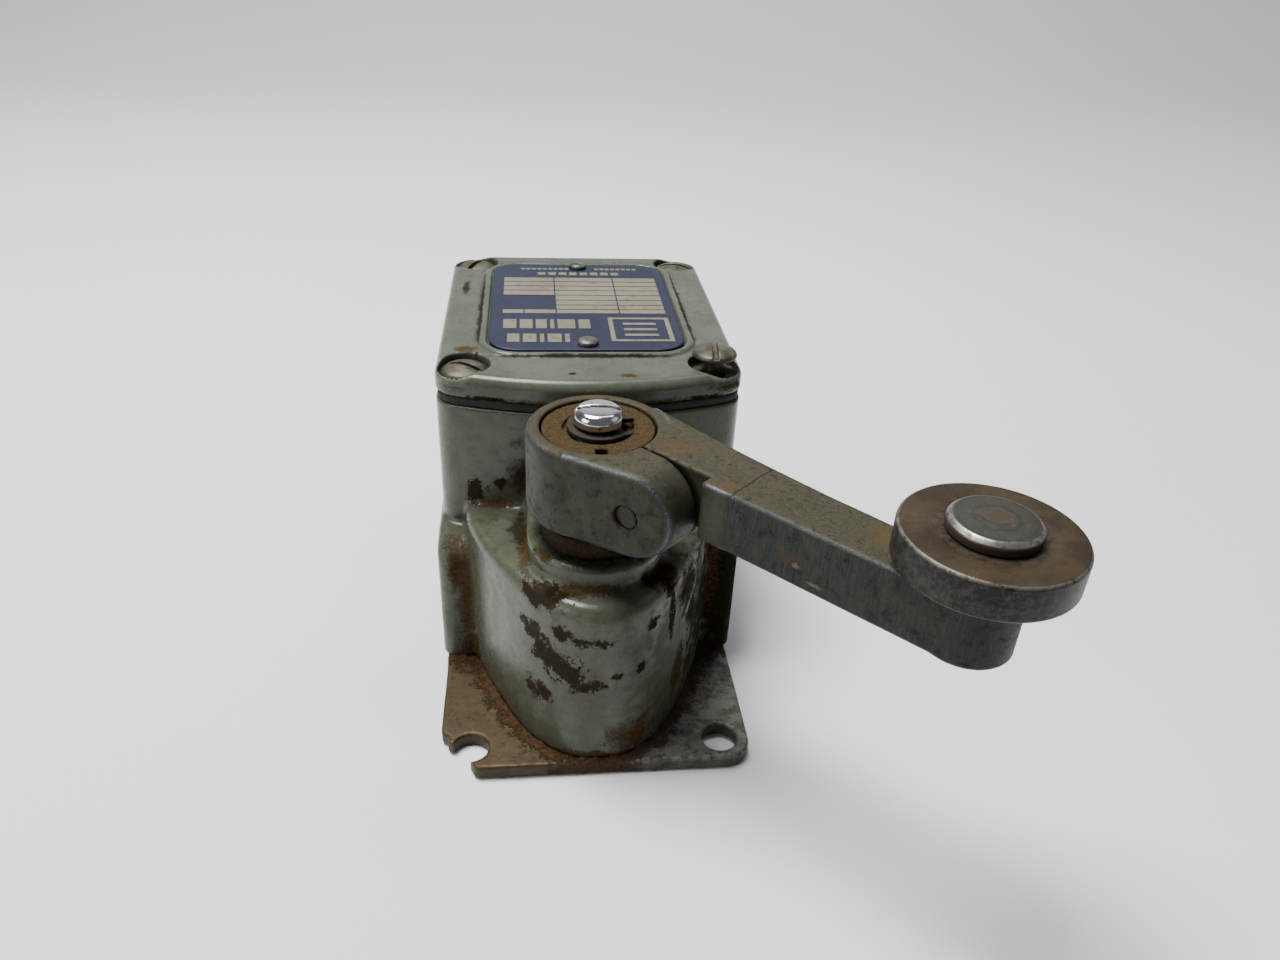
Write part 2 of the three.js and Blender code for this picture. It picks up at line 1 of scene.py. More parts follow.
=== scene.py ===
"""A used, heavy-duty rotary limit switch with a roller lever, on a pale studio floor.

Lengths in this file are millimetres unless a name says otherwise; MM turns them into metres.
"""
import math

import bmesh
import bpy
import numpy as np
from mathutils import Matrix, Vector, noise
from numpy import clip, hypot, maximum, minimum


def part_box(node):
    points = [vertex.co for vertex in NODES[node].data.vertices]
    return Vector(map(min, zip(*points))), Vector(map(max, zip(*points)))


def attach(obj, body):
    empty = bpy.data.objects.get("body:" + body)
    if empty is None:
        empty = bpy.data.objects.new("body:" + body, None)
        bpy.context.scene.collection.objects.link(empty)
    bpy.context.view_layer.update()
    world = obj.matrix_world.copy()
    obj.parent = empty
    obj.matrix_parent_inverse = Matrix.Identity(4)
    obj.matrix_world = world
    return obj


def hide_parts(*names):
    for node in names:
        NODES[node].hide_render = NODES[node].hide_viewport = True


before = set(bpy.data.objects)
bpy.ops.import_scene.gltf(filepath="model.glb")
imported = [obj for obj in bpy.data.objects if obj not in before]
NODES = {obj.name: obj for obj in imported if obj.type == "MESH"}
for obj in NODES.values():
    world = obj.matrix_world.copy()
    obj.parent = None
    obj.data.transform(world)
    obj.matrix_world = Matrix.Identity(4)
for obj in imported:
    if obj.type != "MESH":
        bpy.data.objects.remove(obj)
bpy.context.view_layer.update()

MM = 0.001
BODY = "switch_body"
LEVER = "lever_assembly"


def mm_box(node):
    lo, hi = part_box(node)
    return np.array(lo) / MM, np.array(hi) / MM


# ---------------------------------------------------------------- dimensions from the frame
PLATE_LO, PLATE_HI = mm_box("mounting_plate")
COVER_LO, COVER_HI = mm_box("cover")
HOUSE_LO, HOUSE_HI = mm_box("housing")
ROLLER_LO, ROLLER_HI = mm_box("roller")
LABEL_LO, LABEL_HI = mm_box("nameplate")
BUSH_LO, BUSH_HI = mm_box("hub_bushing")
WASHER_LO = mm_box("lock_washer")[0]
PIN_LO, PIN_HI = mm_box("roller_pin")
RING_LO, RING_HI = mm_box("seal_retainer")
SKIRT_HALF = HOUSE_HI[0]
BOX_HALF = COVER_HI[0]
BOX_FAR = COVER_HI[1]
BOX_TOP = HOUSE_HI[2]
BOX_INSIDE = (28.4, 23.2, 92.3, 3.0)  # half width, near and far ends, corner radius
COVER_TOP = COVER_HI[2] - 0.5
CORNER = 5.95
SCREW_X = BOX_HALF - CORNER
SCREW_FAR = BOX_FAR - CORNER
SCREW_NEAR = 25.8
BOW_FRONT = COVER_LO[1]
BOW_RADIUS = (SCREW_X ** 2 + (SCREW_NEAR - BOW_FRONT) ** 2 - CORNER ** 2) / (
    2 * (SCREW_NEAR - BOW_FRONT - CORNER))
BOW_CENTRE = BOW_FRONT + BOW_RADIUS
LABEL_TOP, LABEL_CORNER = LABEL_HI[2], 6.5
SKIRT_FRONT, SKIRT_FAR, SHOULDER = 11.7, 97.0, 34.4
NOSE_TOP, NOSE_BACK = 39.5, 28.0
COLLAR_R, COLLAR_TOP = 13.5, 44.5
BOSS_R, BOSS_Z, BOSS_END, ENTRY_R = 16.0, 27.0, 103.0, 10.5
HOUSE_FOOT = HOUSE_LO[2]
ABOVE_FOOT = HOUSE_FOOT + 1.0
PLATE_TOP = PLATE_HI[2]
BOLT_X, BOLT_NEAR, BOLT_FAR, BOLT_R = 25.4, -15.85, 101.65, 3.57
# The lever's own axes: x along the arm from the shaft, y across it.
ARM_TURN = math.radians(-46.6)
ARM_COS, ARM_SIN = math.cos(ARM_TURN), math.sin(ARM_TURN)
HUB_R, HUB_MID, HUB_HALF, BORE_R = 13.5, 59.2, 8.6, 10.9
ARM_MID, ARM_HALF, ARM_BACK = 62.05, 5.75, 8.6
CLAMP_X = 15.7
PIN_X, PIN_Y, EYE_R = 72.3, 4.2, 7.3
EAR_X, EAR_Y, EAR_FACE = 0.225, 0.974, 13.4
ROLLER_XY = (ROLLER_LO[:2] + ROLLER_HI[:2]) / 2
ROLLER_R = (ROLLER_HI[0] - ROLLER_LO[0]) / 2
ROLLER_TOP = ROLLER_HI[2]


# ---------------------------------------------------------------- distance fields
def rmax(a, b, r=0.0):
    """Intersection whose edge is rounded to radius r."""
    return minimum(maximum(a, b), -r) + hypot(maximum(a + r, 0), maximum(b + r, 0))


def rmin(a, b, r=0.0):
    """Union with a fillet of radius r."""
    return maximum(minimum(a, b), r) - hypot(maximum(r - a, 0), maximum(r - b, 0))


def slab(z, low, high):
    """The layer between two values of one coordinate."""
    return abs(z - (low + high) / 2) - (high - low) / 2


def round_rect(x, y, half_x, y0, y1, r):
    return rmax(abs(x) - half_x, slab(y, y0, y1), r)


def box_plan(x, y, inset=0.0):
    """Outline of the switch box: round corners about the cover screws, and a bowed near side."""
    ax = abs(x)
    r = CORNER - inset
    bow = hypot(ax, y - BOW_CENTRE) - (BOW_RADIUS - inset)
    far = rmax(ax - (BOX_HALF - inset), y - (BOX_FAR - inset), r)
    corner = hypot(ax - SCREW_X, y - SCREW_NEAR) - r
    wedge = (y < SCREW_NEAR) & (SCREW_X * (y - BOW_CENTRE) - (SCREW_NEAR - BOW_CENTRE) * ax > 0)
    return np.where(wedge, corner, maximum(bow, far))


def screw_circles(x, y, r):
    near = hypot(abs(x) - SCREW_X, y - SCREW_NEAR)
    far = hypot(abs(x) - SCREW_X, y - SCREW_FAR)
    return minimum(near, far) - r


def nose_plan(x, y, z):
    """The nose: its flanks spread more at the top than at the foot, and its front is bowed."""
    rise = z - HOUSE_FOOT
    slope = 0.437 + 0.0034 * rise
    side = (abs(x) - 20.65 - slope * y) / np.sqrt(1 + slope ** 2)
    front = hypot(x, y - 9.3) - (29.6 - 0.02 * rise)
    return rmax(side, front, 8.0)


def housing_outside(x, y, z):
    box = rmax(box_plan(x, y), z - BOX_TOP, 0.4)
    front = rmax(SKIRT_FRONT - y, (z - SHOULDER - 0.15 * clip(y - 20.0, -8, 0)) * 0.99, 4.5)
    sides = rmax(rmax(abs(x) - SKIRT_HALF, y - SKIRT_FAR, 3.0), z - SHOULDER, 1.8)
    skirt = rmax(front, sides, 2.8)
    edge = clip(2.4 - 0.22 * (y + 8.0), 2.4, 4.0)
    nose = rmax(rmax(nose_plan(x, y, z), z - NOSE_TOP, edge), y - NOSE_BACK)
    nose = rmax(nose, abs(x) - BOX_HALF + 0.05, 0.6)
    collar = rmax(hypot(x, y - clip(y, 0, 26)) - COLLAR_R, z - COLLAR_TOP, 1.3)
    boss = rmax(rmax(hypot(x, z - BOSS_Z) - BOSS_R, y - BOSS_END, 1.2), 90.0 - y)
    body = box
    for part, joint in ((skirt, 1.2), (nose, 1.6), (collar, 1.5), (boss, 2.0)):
        body = rmin(body, part, joint)
    return rmax(body, HOUSE_FOOT - z, 0.3)


def housing_field(x, y, z):
    body = housing_outside(x, y, z)
    well = rmax(round_rect(x, y, *BOX_INSIDE), -screw_circles(x, y, 6.0), 1.0)
    shaft = hypot(x, y)
    holes = [
        rmax(well, 10.0 - z, 1.5),
        maximum(screw_circles(x, y, 2.4), 42.0 - z),
        maximum(shaft - 11.5, z - 33.5),
        maximum(shaft - 7.5, z - 45.0),
        maximum(shaft - 9.3, 39.1 - z),
        maximum(hypot(x, z - BOSS_Z) - ENTRY_R, 88.0 - y),
        maximum(hypot(x, z - 21.0) - 4.9, abs(y - 16.0) - 10.0),
    ]
    for hole in holes:
        body = rmax(body, -hole, 0.35)
    return body


def label_ring(x, y, grow):
    return round_rect(x, y, LABEL_HI[0] + grow, LABEL_LO[1] - grow, LABEL_HI[1] + grow, LABEL_CORNER + grow)


def cover_field(x, y, z):
    lid = rmax(rmax(box_plan(x, y), z - COVER_TOP, 2.3), COVER_LO[2] - z, 0.5)
    bead = hypot(label_ring(x, y, 1.15), maximum(z - COVER_TOP + 0.35, 0)) - 0.85
    lid = rmin(lid, bead, 0.5)
    groove = hypot(label_ring(x, y, 2.55), z - COVER_TOP - 0.15) - 0.45
    lid = rmax(lid, -groove, 0.3)
    floor = maximum(label_ring(x, y, 0.35), LABEL_LO[2] - 0.3 - z)
    lid = rmax(lid, -floor, 0.25)
    recess = rmax(screw_circles(x, y, 5.35), 66.3 - z, 0.4)
    lid = rmax(lid, -recess, 0.45)
    hollow = maximum(round_rect(x, y, *BOX_INSIDE), z - COVER_LO[2] - 1.8)
    hollow = maximum(hollow, -screw_circles(x, y, 6.2))
    lid = rmax(lid, -hollow, 0.3)
    return maximum(lid, -screw_circles(x, y, 2.6))


def gasket_field(x, y, z):
    ring = rmax(box_plan(x, y, 0.25), slab(z, BOX_TOP + 0.02, COVER_LO[2] - 0.02), 0.45)
    hollow = maximum(round_rect(x, y, 28.0, 23.6, 91.9, 3.0), -screw_circles(x, y, 6.4))
    return maximum(maximum(ring, -hollow), -screw_circles(x, y, 2.6))


def plate_field(x, y, z):
    plan = round_rect(x, y, PLATE_HI[0], PLATE_LO[1], PLATE_HI[1], 5.5)
    broken = -((x + 33.5) * 0.801 + (y + 8.5) * 0.599) - 0.45 * np.sin(y * 1.9) * np.cos(y * 0.7)
    plan = rmax(plan, broken, 0.4)
    from_bolt = abs(x) - BOLT_X
    holes = minimum(hypot(from_bolt, y - BOLT_NEAR), hypot(from_bolt, y - BOLT_FAR)) - BOLT_R
    plate = rmax(rmax(plan, -holes, 0.35), slab(z, 0, PLATE_TOP), 0.55)
    sink = minimum(hypot(x, y - 33.0), hypot(x, y - 86.0)) - maximum(2.2, 4.6 - z)
    return maximum(plate, -sink * 0.75)


def lever_axes(x, y):
    """Frame x and y turned into the lever's own axes."""
    return x * ARM_COS + y * ARM_SIN, y * ARM_COS - x * ARM_SIN


def clamp_round(x, z):
    """The clamp's round end, seen across the lever."""
    return hypot(maximum(x - CLAMP_X, 0), z - HUB_MID) - HUB_HALF


def lever_field(wx, wy, z):
    x, y = lever_axes(wx, wy)
    hub = rmax(hypot(x, y) - HUB_R, abs(z - HUB_MID) - HUB_HALF, 1.3)
    back = rmin((x - 25) * 0.202 + (y - ARM_BACK) * 0.979, y - ARM_BACK, 7.0)
    face = -2.95 + 0.25 / (1 + np.exp(clip((31.6 - x) / 0.25, -30, 30)))
    front = minimum(rmax(face - y, 26.0 - x, 0.8), -0.25 - y)
    toward = 0.202 * y - 0.979 * x
    from_pin = hypot(x - PIN_X, y - PIN_Y)
    arm_plan = maximum(maximum(back, front), maximum(toward, x - PIN_X))
    arm = rmax(rmin(arm_plan, from_pin - EYE_R), abs(z - ARM_MID) - ARM_HALF, 0.75)
    clamp = clamp_round(x, z)
    ear = rmax(rmax(clamp, EAR_X * x - EAR_Y * y - EAR_FACE, 1.7), y + 0.75, 0.35)
    ear = maximum(ear, -(EAR_Y * x + EAR_X * y))
    lug = maximum(rmax(rmax(clamp, back, 0.9), -0.25 - y, 0.35), toward)
    body = minimum(minimum(hub, ear), minimum(lug, arm))
    slit = maximum(abs(y + 0.5) - 0.25, maximum(8.0 - x, x - 26.0))
    screw_hole = hypot(x - CLAMP_X, z - HUB_MID) - np.where(y > 6.6, 4.2, 2.32)
    for hole, edge in ((slit, 0.15), (hypot(x, y) - BORE_R, 0.4), (screw_hole, 0.12), (from_pin - 4.3, 0.3)):
        body = rmax(body, -hole, edge)
    return body


def surface_net(field, lo, hi, step):
    """Vertices and quads of the zero surface of a field sampled on a grid."""
    axes = [np.arange(a - 1.5 * step, b + 2.5 * step, step) for a, b in zip(lo, hi)]
    x, y, z = np.meshgrid(*axes, indexing="ij")
    f = field(x, y, z)
    inside = f < 0
    corner = [(i, j, k) for i in (0, 1) for j in (0, 1) for k in (0, 1)]
    cells = tuple(n - 1 for n in f.shape)

    def at(grid, c):
        return grid[c[0]:c[0] + cells[0], c[1]:c[1] + cells[1], c[2]:c[2] + cells[2]]

    count = sum(at(inside, c).astype(np.int8) for c in corner)
    active = (count > 0) & (count < 8)
    where = np.argwhere(active)
    index = np.full(cells, -1, np.int64)
    index[active] = np.arange(len(where))
    values = np.stack([at(f, c)[active] for c in corner], 1)
    total = np.zeros((len(where), 3))
    hits = np.zeros(len(where))
    for a in range(8):
        for b in range(a + 1, 8):
            ca, cb = np.array(corner[a]), np.array(corner[b])
            if abs(ca - cb).sum() != 1:
                continue
            fa, fb = values[:, a], values[:, b]
            cross = (fa < 0) != (fb < 0)
            t = np.where(cross, fa / np.where(cross, fa - fb, 1.0), 0.0)
            total += np.where(cross[:, None], ca + t[:, None] * (cb - ca), 0.0)
            hits += cross
    verts = (where + total / hits[:, None]) * step + np.array([a[0] for a in axes])
    quads = []
    for axis in range(3):
        u, v = (axis + 1) % 3, (axis + 2) % 3
        n = f.shape
        low = [slice(1, n[k] - 1) for k in range(3)]
        low[axis] = slice(0, n[axis] - 1)
        high = list(low)
        high[axis] = slice(1, n[axis])
        change = inside[tuple(low)] != inside[tuple(high)]
        spot = np.argwhere(change) + np.array([s.start for s in low])
        outward = inside[spot[:, 0], spot[:, 1], spot[:, 2]]
        ring = []
        for du, dv in ((-1, -1), (0, -1), (0, 0), (-1, 0)):
            cell = spot.copy()
            cell[:, u] += du
            cell[:, v] += dv
            ring.append(index[cell[:, 0], cell[:, 1], cell[:, 2]])
        ring = np.stack(ring, 1)
        ring[~outward] = ring[~outward][:, ::-1]
        quads.append(ring)
    return verts, np.concatenate(quads)


def lever_rims(v):
    """1 on the rounded outer edges of the lever, 0 on its faces."""
    x, y = lever_axes(v[:, 0], v[:, 1])
    z = v[:, 2]

    def rim(a, b, r):
        return clip((minimum(a, b) + r) / (0.7 * r), 0, 1)

    from_shaft = hypot(x, y)
    hub = rim(from_shaft - HUB_R, abs(z - HUB_MID) - HUB_HALF, 1.3)
    ear = rim(clamp_round(x, z), EAR_X * x - EAR_Y * y - EAR_FACE, 1.7)
    side = minimum(minimum(ARM_BACK - y, y + 3.0), 80.0 - x)
    outline = np.where(x > 66, hypot(x - PIN_X, y - PIN_Y) - EYE_R, -side)
    arm = rim(outline, abs(z - ARM_MID) - ARM_HALF, 1.2)
    on_ear = (y < -0.6) & (EAR_Y * x + EAR_X * y > 0) & (x < 26)
    on_hub = ((x < 0) | (y > 9.5)) & (from_shaft < HUB_R + 0.2)
    on_arm = (x > 27) & (y < 3)
    return np.select([on_ear, on_hub, on_arm], [ear, hub, arm], 0)


def gradient(field, v, d=0.04):
    g = np.zeros_like(v)
    for k in range(3):
        a, b = v.copy(), v.copy()
        a[:, k] -= d
        b[:, k] += d
        g[:, k] = (field(*b.T) - field(*a.T)) / (2 * d)
    return g


def new_object(name, data):
    obj = bpy.data.objects.new(name, data)
    bpy.context.scene.collection.objects.link(obj)
    return obj


def turn_faces_out(mesh, merge=None):
    """Make the faces agree; points closer than merge metres are joined first."""
    work = bmesh.new()
    work.from_mesh(mesh)
    if merge:
        bmesh.ops.remove_doubles(work, verts=work.verts, dist=merge)
    bmesh.ops.recalc_face_normals(work, faces=work.faces)
    work.to_mesh(mesh)
    work.free()


def soft_bevel(obj, width, segments):
    bevel = obj.modifiers.new("soft_edges", "BEVEL")
    bevel.width = width * MM
    bevel.segments = segments
    bevel.limit_method = "ANGLE"


def point_rows(obj):
    """The object's points in millimetres."""
    return np.array([v.co for v in obj.data.vertices]) / MM


def new_mesh(name, verts, faces):
    """An object from millimetre vertices and faces of one size each."""
    mesh = bpy.data.meshes.new(name)
    faces = np.asarray(faces)
    mesh.vertices.add(len(verts))
    mesh.vertices.foreach_set("co", (np.asarray(verts) * MM).astype(np.float32).ravel())
    sides = faces.shape[1]
    mesh.loops.add(faces.size)
    mesh.loops.foreach_set("vertex_index", faces.ravel().astype(np.int32))
    mesh.polygons.add(len(faces))
    mesh.polygons.foreach_set("loop_start", np.arange(0, faces.size, sides, dtype=np.int32))
    mesh.polygons.foreach_set("loop_total", np.full(len(faces), sides, np.int32))
    mesh.update(calc_edges=True)
    mesh.validate()
    mesh.shade_smooth()
    return new_object(name, mesh)


def add_attribute(obj, name, values):
    layer = obj.data.attributes.new(name, "FLOAT", "POINT")
    layer.data.foreach_set("value", np.asarray(values, np.float32))


def lumps(points, size, seed):
    """Smooth noise from -1 to 1 with features of the given size."""
    shift = Vector((seed * 17.3, seed * 5.1, seed * 9.7))
    return np.array([noise.noise(Vector(p) / size + shift) for p in points])


def dents(depth, size, seed, sink):
    return lambda points: depth * lumps(points, size, seed) - sink


def cast_piece(name, node, field, steps, reach, swell=None):
    """A smooth-edged solid in the box of its CAD node, with edge and crevice masks on its points.
    """
    step = steps[1]
    verts, quads = surface_net(field, *mm_box(node), step)
    for _ in range(2):
        g = gradient(field, verts)
        size = maximum((g ** 2).sum(1), 0.25)
        move = (field(*verts.T) / size)[:, None] * g
        verts = verts - clip(move, -0.4 * step, 0.4 * step)
    g = gradient(field, verts)
    normal = g / maximum(np.linalg.norm(g, axis=1), 1e-6)[:, None]
    edge = 1 + field(*(verts - normal * reach).T) / reach
    crevice = 1 - field(*(verts + normal * reach * 1.5).T) / (reach * 1.5)
    if swell is not None:
        verts = verts + normal * swell(verts)[:, None]
    obj = new_mesh(name, verts, quads)
    add_attribute(obj, "edge", clip(edge, 0, 1))
    add_attribute(obj, "crevice", clip(crevice, 0, 1))
    return obj


def turned_piece(name, profile, centre=(0, 0), segments=96, shape=None):
    """A piece turned about +Z from [radius, height] points; shape, if given, moves its points."""
    angles = np.linspace(0, 2 * math.pi, segments, endpoint=False)
    verts, faces = [], []
    rings = []
    for r, z in profile:
        if r < 1e-6:
            rings.append([len(verts)])
            verts.append((0.0, 0.0, z))
        else:
            rings.append(list(range(len(verts), len(verts) + segments)))
            verts.extend((r * math.cos(t), r * math.sin(t), z) for t in angles)
    for low, high in zip(rings, rings[1:]):
        for i in range(segments):
            j = (i + 1) % segments
            if len(low) == 1:
                faces.append((low[0], high[j], high[i]))
            elif len(high) == 1:
                faces.append((low[i], low[j], high[0]))
            else:
                faces.append((low[i], low[j], high[j], high[i]))
    mesh = bpy.data.meshes.new(name)
    points = np.array(verts, float)
    if shape is not None:
        points = shape(points)
    points[:, :2] += centre
    mesh.from_pydata((points * MM).tolist(), [], faces)
    mesh.validate()
    turn_faces_out(mesh)
    mesh.shade_smooth()
    return new_object(name, mesh)


def fillet(points, r, steps=5):
    """A [radius, height] profile with its inner corners rounded to radius r."""
    out = [points[0]]
    for before, here, after in zip(points, points[1:], points[2:]):
        p, a, b = (np.array(q, float) for q in (here, before, after))
        ua, ub = (a - p) / np.linalg.norm(a - p), (b - p) / np.linalg.norm(b - p)
        reach = min(r, 0.45 * np.linalg.norm(a - p), 0.45 * np.linalg.norm(b - p))
        if abs(np.dot(ua, ub)) > 0.999 or reach < 1e-3:
            out.append(tuple(p))
            continue
        start, end = p + ua * reach, p + ub * reach
        for i in range(steps + 1):
            t = i / steps
            q = (1 - t) ** 2 * start + 2 * t * (1 - t) * p + t ** 2 * end
            out.append(tuple(q))
    out.append(points[-1])
    return out


# ---------------------------------------------------------------- materials
class Shader:
    """A small builder for one procedural material; coordinates are millimetres of the shared frame."""

    def __init__(self, name, metallic=0.0, specular=0.5):
        self.material = bpy.data.materials.new(name)
        self.material.use_nodes = True
        self.tree = self.material.node_tree
        self.tree.nodes.clear()
        output = self.node("OutputMaterial")
        self.bsdf = self.node("BsdfPrincipled")
        self.feed_named(self.bsdf, {"Metallic": metallic, "Specular IOR Level": specular})
        self.feed(output.inputs[0], self.bsdf.outputs[0])
        object_place = self.node("TexCoord").outputs["Object"]
        self.place = self.vector("MULTIPLY", object_place, (1 / MM, 1 / MM, 1 / MM))
        self.x, self.y, self.z = self.node("SeparateXYZ", self.place).outputs

    def node(self, kind, *values, **options):
        """A new node with its options set and its first inputs fed."""
        node = self.tree.nodes.new("ShaderNode" + kind)
        for option, choice in options.items():
            setattr(node, option, choice)
        for socket, value in zip(node.inputs, values):
            self.feed(socket, value)
        return node

    def feed(self, socket, value):
        """Link a socket or set a number, a vector or a colour."""
        if isinstance(value, bpy.types.NodeSocket):
            self.tree.links.new(value, socket)
        elif isinstance(value, tuple) and socket.type == "RGBA":
            socket.default_value = (*value, 1.0)
        else:
            socket.default_value = value

    def feed_named(self, node, values):
        for name, value in values.items():
            if value is not None:
                self.feed(node.inputs[name], value)
        return node

    def vector(self, op, a, b):
        return self.node("VectorMath", a, b, operation=op).outputs[0]

    def join(self, x, y, z):
        return self.node("CombineXYZ", x, y, z).outputs[0]

    def math(self, op, a, b=0.0, clamp=False):
        return self.node("Math", a, b, operation=op, use_clamp=clamp).outputs[0]

    def add(self, *terms):
        total = terms[0]
        for term in terms[1:]:
            total = self.math("ADD", total, term)
        return total

    def mul(self, a, b):
        return self.math("MULTIPLY", a, b)

    def sub(self, a, b):
        return self.math("SUBTRACT", a, b)

    def max(self, a, b):
        return self.math("MAXIMUM", a, b)

    def sway(self, noise, amount):
        """A noise about 0 instead of 0.5, times amount."""
        return self.mul(self.sub(noise, 0.5), amount)

    def weigh(self, *pairs, base=None):
        """Values times their weights, added up on a base."""
        terms = [self.mul(value, weight) for value, weight in zip(pairs[::2], pairs[1::2])]
        return self.add(*terms) if base is None else self.add(base, *terms)

    def from_roller_axis(self):
        dx, dy = self.sub(self.x, float(ROLLER_XY[0])), self.sub(self.y, float(ROLLER_XY[1]))
        return self.math("SQRT", self.weigh(dx, dx, dy, dy))

    def noise(self, scale, detail=4.0, rough=0.55, place=None, warp=0.0):
        """Noise from 0 to 1; scale is features per millimetre."""
        settings = {"Scale": scale, "Detail": detail, "Roughness": rough, "Distortion": warp,
                    "Vector": place or self.place}
        return self.feed_named(self.node("TexNoise"), settings).outputs["Fac"]

    def noises(self, *settings):
        return [self.noise(*setting) for setting in settings]

    def step(self, value, low, high):
        """0 below low, 1 above high, smooth between; swapped limits fall instead."""
        start, end = (1.0, 0.0) if low > high else (0.0, 1.0)
        node = self.node("MapRange", value, min(low, high), max(low, high), start, end,
                         interpolation_type="SMOOTHSTEP")
        return node.outputs["Result"]

    def mask(self, name):
        return self.node("Attribute", attribute_name=name).outputs["Fac"]

    def zones(self, spots):
        """Highest over the spots of 1 at a centre, 0 at its radius and -0.8 far away."""
        best = -0.8
        for spot in spots:
            away = self.vector("SUBTRACT", self.place, spot[:3])
            away = self.vector("DIVIDE", away, spot[3:])
            length = self.node("VectorMath", away, operation="LENGTH").outputs["Value"]
            best = self.max(self.sub(1.0, length), best)
        return best

    def patch(self, spots, noise, amount, low, high):
        """Spots with an edge made ragged by a noise."""
        return self.step(self.add(self.zones(spots), self.sway(noise, amount)), low, high)

    def mix(self, fac, a, b, data_type="RGBA"):
        """Colours by default; data_type "FLOAT" mixes numbers."""
        node = self.node("Mix", data_type=data_type)
        return self.feed_named(node, {"Factor": fac, "A": a, "B": b}).outputs["Result"]

    def tint(self, mask, amount, tone):
        """Lay a tone over the colour so far."""
        self.color = self.mix(self.mul(mask, amount), self.color, tone)

    def finish(self, roughness=None, metallic=None, height=None, specular=None):
        """Connect the results; height is in millimetres."""
        results = {"Base Color": self.color, "Roughness": roughness, "Metallic": metallic,
                   "Specular IOR Level": specular}
        if height is not None:
            bump = self.feed_named(self.node("Bump"), {"Strength": 1.0, "Distance": MM, "Height": height})
            results["Normal"] = bump.outputs["Normal"]
        self.feed_named(self.bsdf, results)
        return self.material


def rgb(*thousandths):
    """A linear colour."""
    return tuple(part / 1000 for part in thousandths)


RUST = rgb(82, 38, 9)
RUST_DARK = rgb(22, 10, 3)
# A near-black tone for soot specks and for painted shade.
SOOT_AND_SHADE = rgb(6, 5, 2)
BARE = rgb(9, 6, 3)
BARE_WARM = rgb(24, 14, 6)
OIL = rgb(26, 21, 8)


def paint_material(name, light, dark, chips, rusts, soot_and_shade_spots, dirt=1.0, scratches_and_glints=(), shade_and_grime_spots=()):
    """Old grey-green enamel: mottled, chipped to dark iron, rusty and sooty in places, with painted shade in
    creases and listed zones and painted highlights on edges.
    """
    s = Shader(name)
    broad, middle, fine, grain = s.noises((0.06, 5, 0.6), (0.33, 7, 0.62), (1.6, 6, 0.68), (4.5, 3, 0.6))
    crevice = s.mask("crevice")
    edge = s.mask("edge")
    s.color = s.mix(s.step(broad, 0.38, 0.64), dark, light)
    low = s.mul(s.step(s.z, 50.0, 22.0), 0.10 * dirt)
    film = s.step(s.add(s.mul(middle, 0.7), s.mul(fine, 0.3), low), 0.46, 0.7)
    s.tint(film, 0.42 * dirt, OIL)
    smear = s.noise(0.5, 6, 0.6, place=s.join(s.mul(s.x, 0.8), s.mul(s.y, 0.8), s.mul(s.z, 1.9)))
    s.tint(s.step(smear, 0.54, 0.68), 0.35 * dirt, rgb(14, 11, 5))
    # Painted shade with grime: a dark olive film over the listed zones, which are also duller and rougher.
    shade_and_grime = s.patch(shade_and_grime_spots, middle, 1.2, -0.1, 0.6)
    s.tint(shade_and_grime, 0.5, rgb(16, 14, 6))
    speck = s.step(s.noise(1.9, 4, 0.6), 0.655, 0.69)
    s.tint(speck, 0.75, SOOT_AND_SHADE)

    # Soot and painted shade: darker in creases, under the hub and cover, and on the shaded right side.
    soot_and_shade = s.add(s.zones(soot_and_shade_spots), s.sway(middle, 1.8), s.sway(fine, 0.6), s.mul(crevice, 0.35))
    soot_and_shade = s.step(soot_and_shade, -0.15, 0.65)
    s.tint(soot_and_shade, 0.92, s.mix(s.step(fine, 0.4, 0.65), SOOT_AND_SHADE, rgb(16, 12, 6)))

    rusty = s.add(s.zones(rusts), s.sway(fine, 1.7), s.sway(middle, 1.3), s.mul(crevice, 0.3))
    rusty = s.step(rusty, -0.2, 0.75)
    rust = s.mix(s.step(s.weigh(fine, 0.6, grain, 0.4), 0.42, 0.6), RUST_DARK, RUST)
    s.tint(rusty, 0.8, rust)

    rag = s.noise(0.38, 8, 0.68, warp=0.3)
    tear = s.add(s.zones(chips), s.sway(rag, 2.7), s.mul(edge, 0.25))
    tear = s.add(tear, s.sway(fine, 1.1))
    chip = s.step(tear, 0.34, 0.46)
    under = s.mix(s.step(fine, 0.42, 0.66), BARE, BARE_WARM)
    s.tint(chip, 0.95, under)
    halo = s.mul(s.step(tear, 0.0, 0.4), s.sub(1.0, chip))
    s.tint(halo, 0.45, BARE_WARM)
    # Paler convex edges: edge wear, and a painted highlight on the rounded edges.
    rub_and_sheen = s.step(s.add(edge, s.sway(middle, 1.2)), 0.66, 0.92)
    s.tint(rub_and_sheen, 0.45, rgb(110, 120, 98))
    # Pale marks: scratches, and a painted highlight along the nose's right ridge.
    if scratches_and_glints:
        scratch_and_glint = s.add(s.zones(scratches_and_glints), s.sway(fine, 2.2), s.sway(middle, 1.6))
        scratch_and_glint = s.step(scratch_and_glint, 0.42, 0.7)
        s.tint(scratch_and_glint, 0.7, rgb(135, 135, 100))

    rough = s.weigh(middle, 0.1, film, 0.08, soot_and_shade, 0.28, chip, 0.3, rusty, 0.4, shade_and_grime, 0.2, base=0.20)
    height = s.weigh(chip, -0.12, s.noise(0.8, 3), 0.02, s.mul(rusty, fine), 0.35, film, 0.01, soot_and_shade,
                     s.mul(fine, 0.12), grain, 0.003)
    clean = s.weigh(soot_and_shade, -0.8, chip, -0.8, rusty, -0.85, shade_and_grime, -0.6, base=1.0)
    gloss = s.mul(s.max(clean, 0.05), 0.27)
    return s.finish(rough, None, height, gloss)


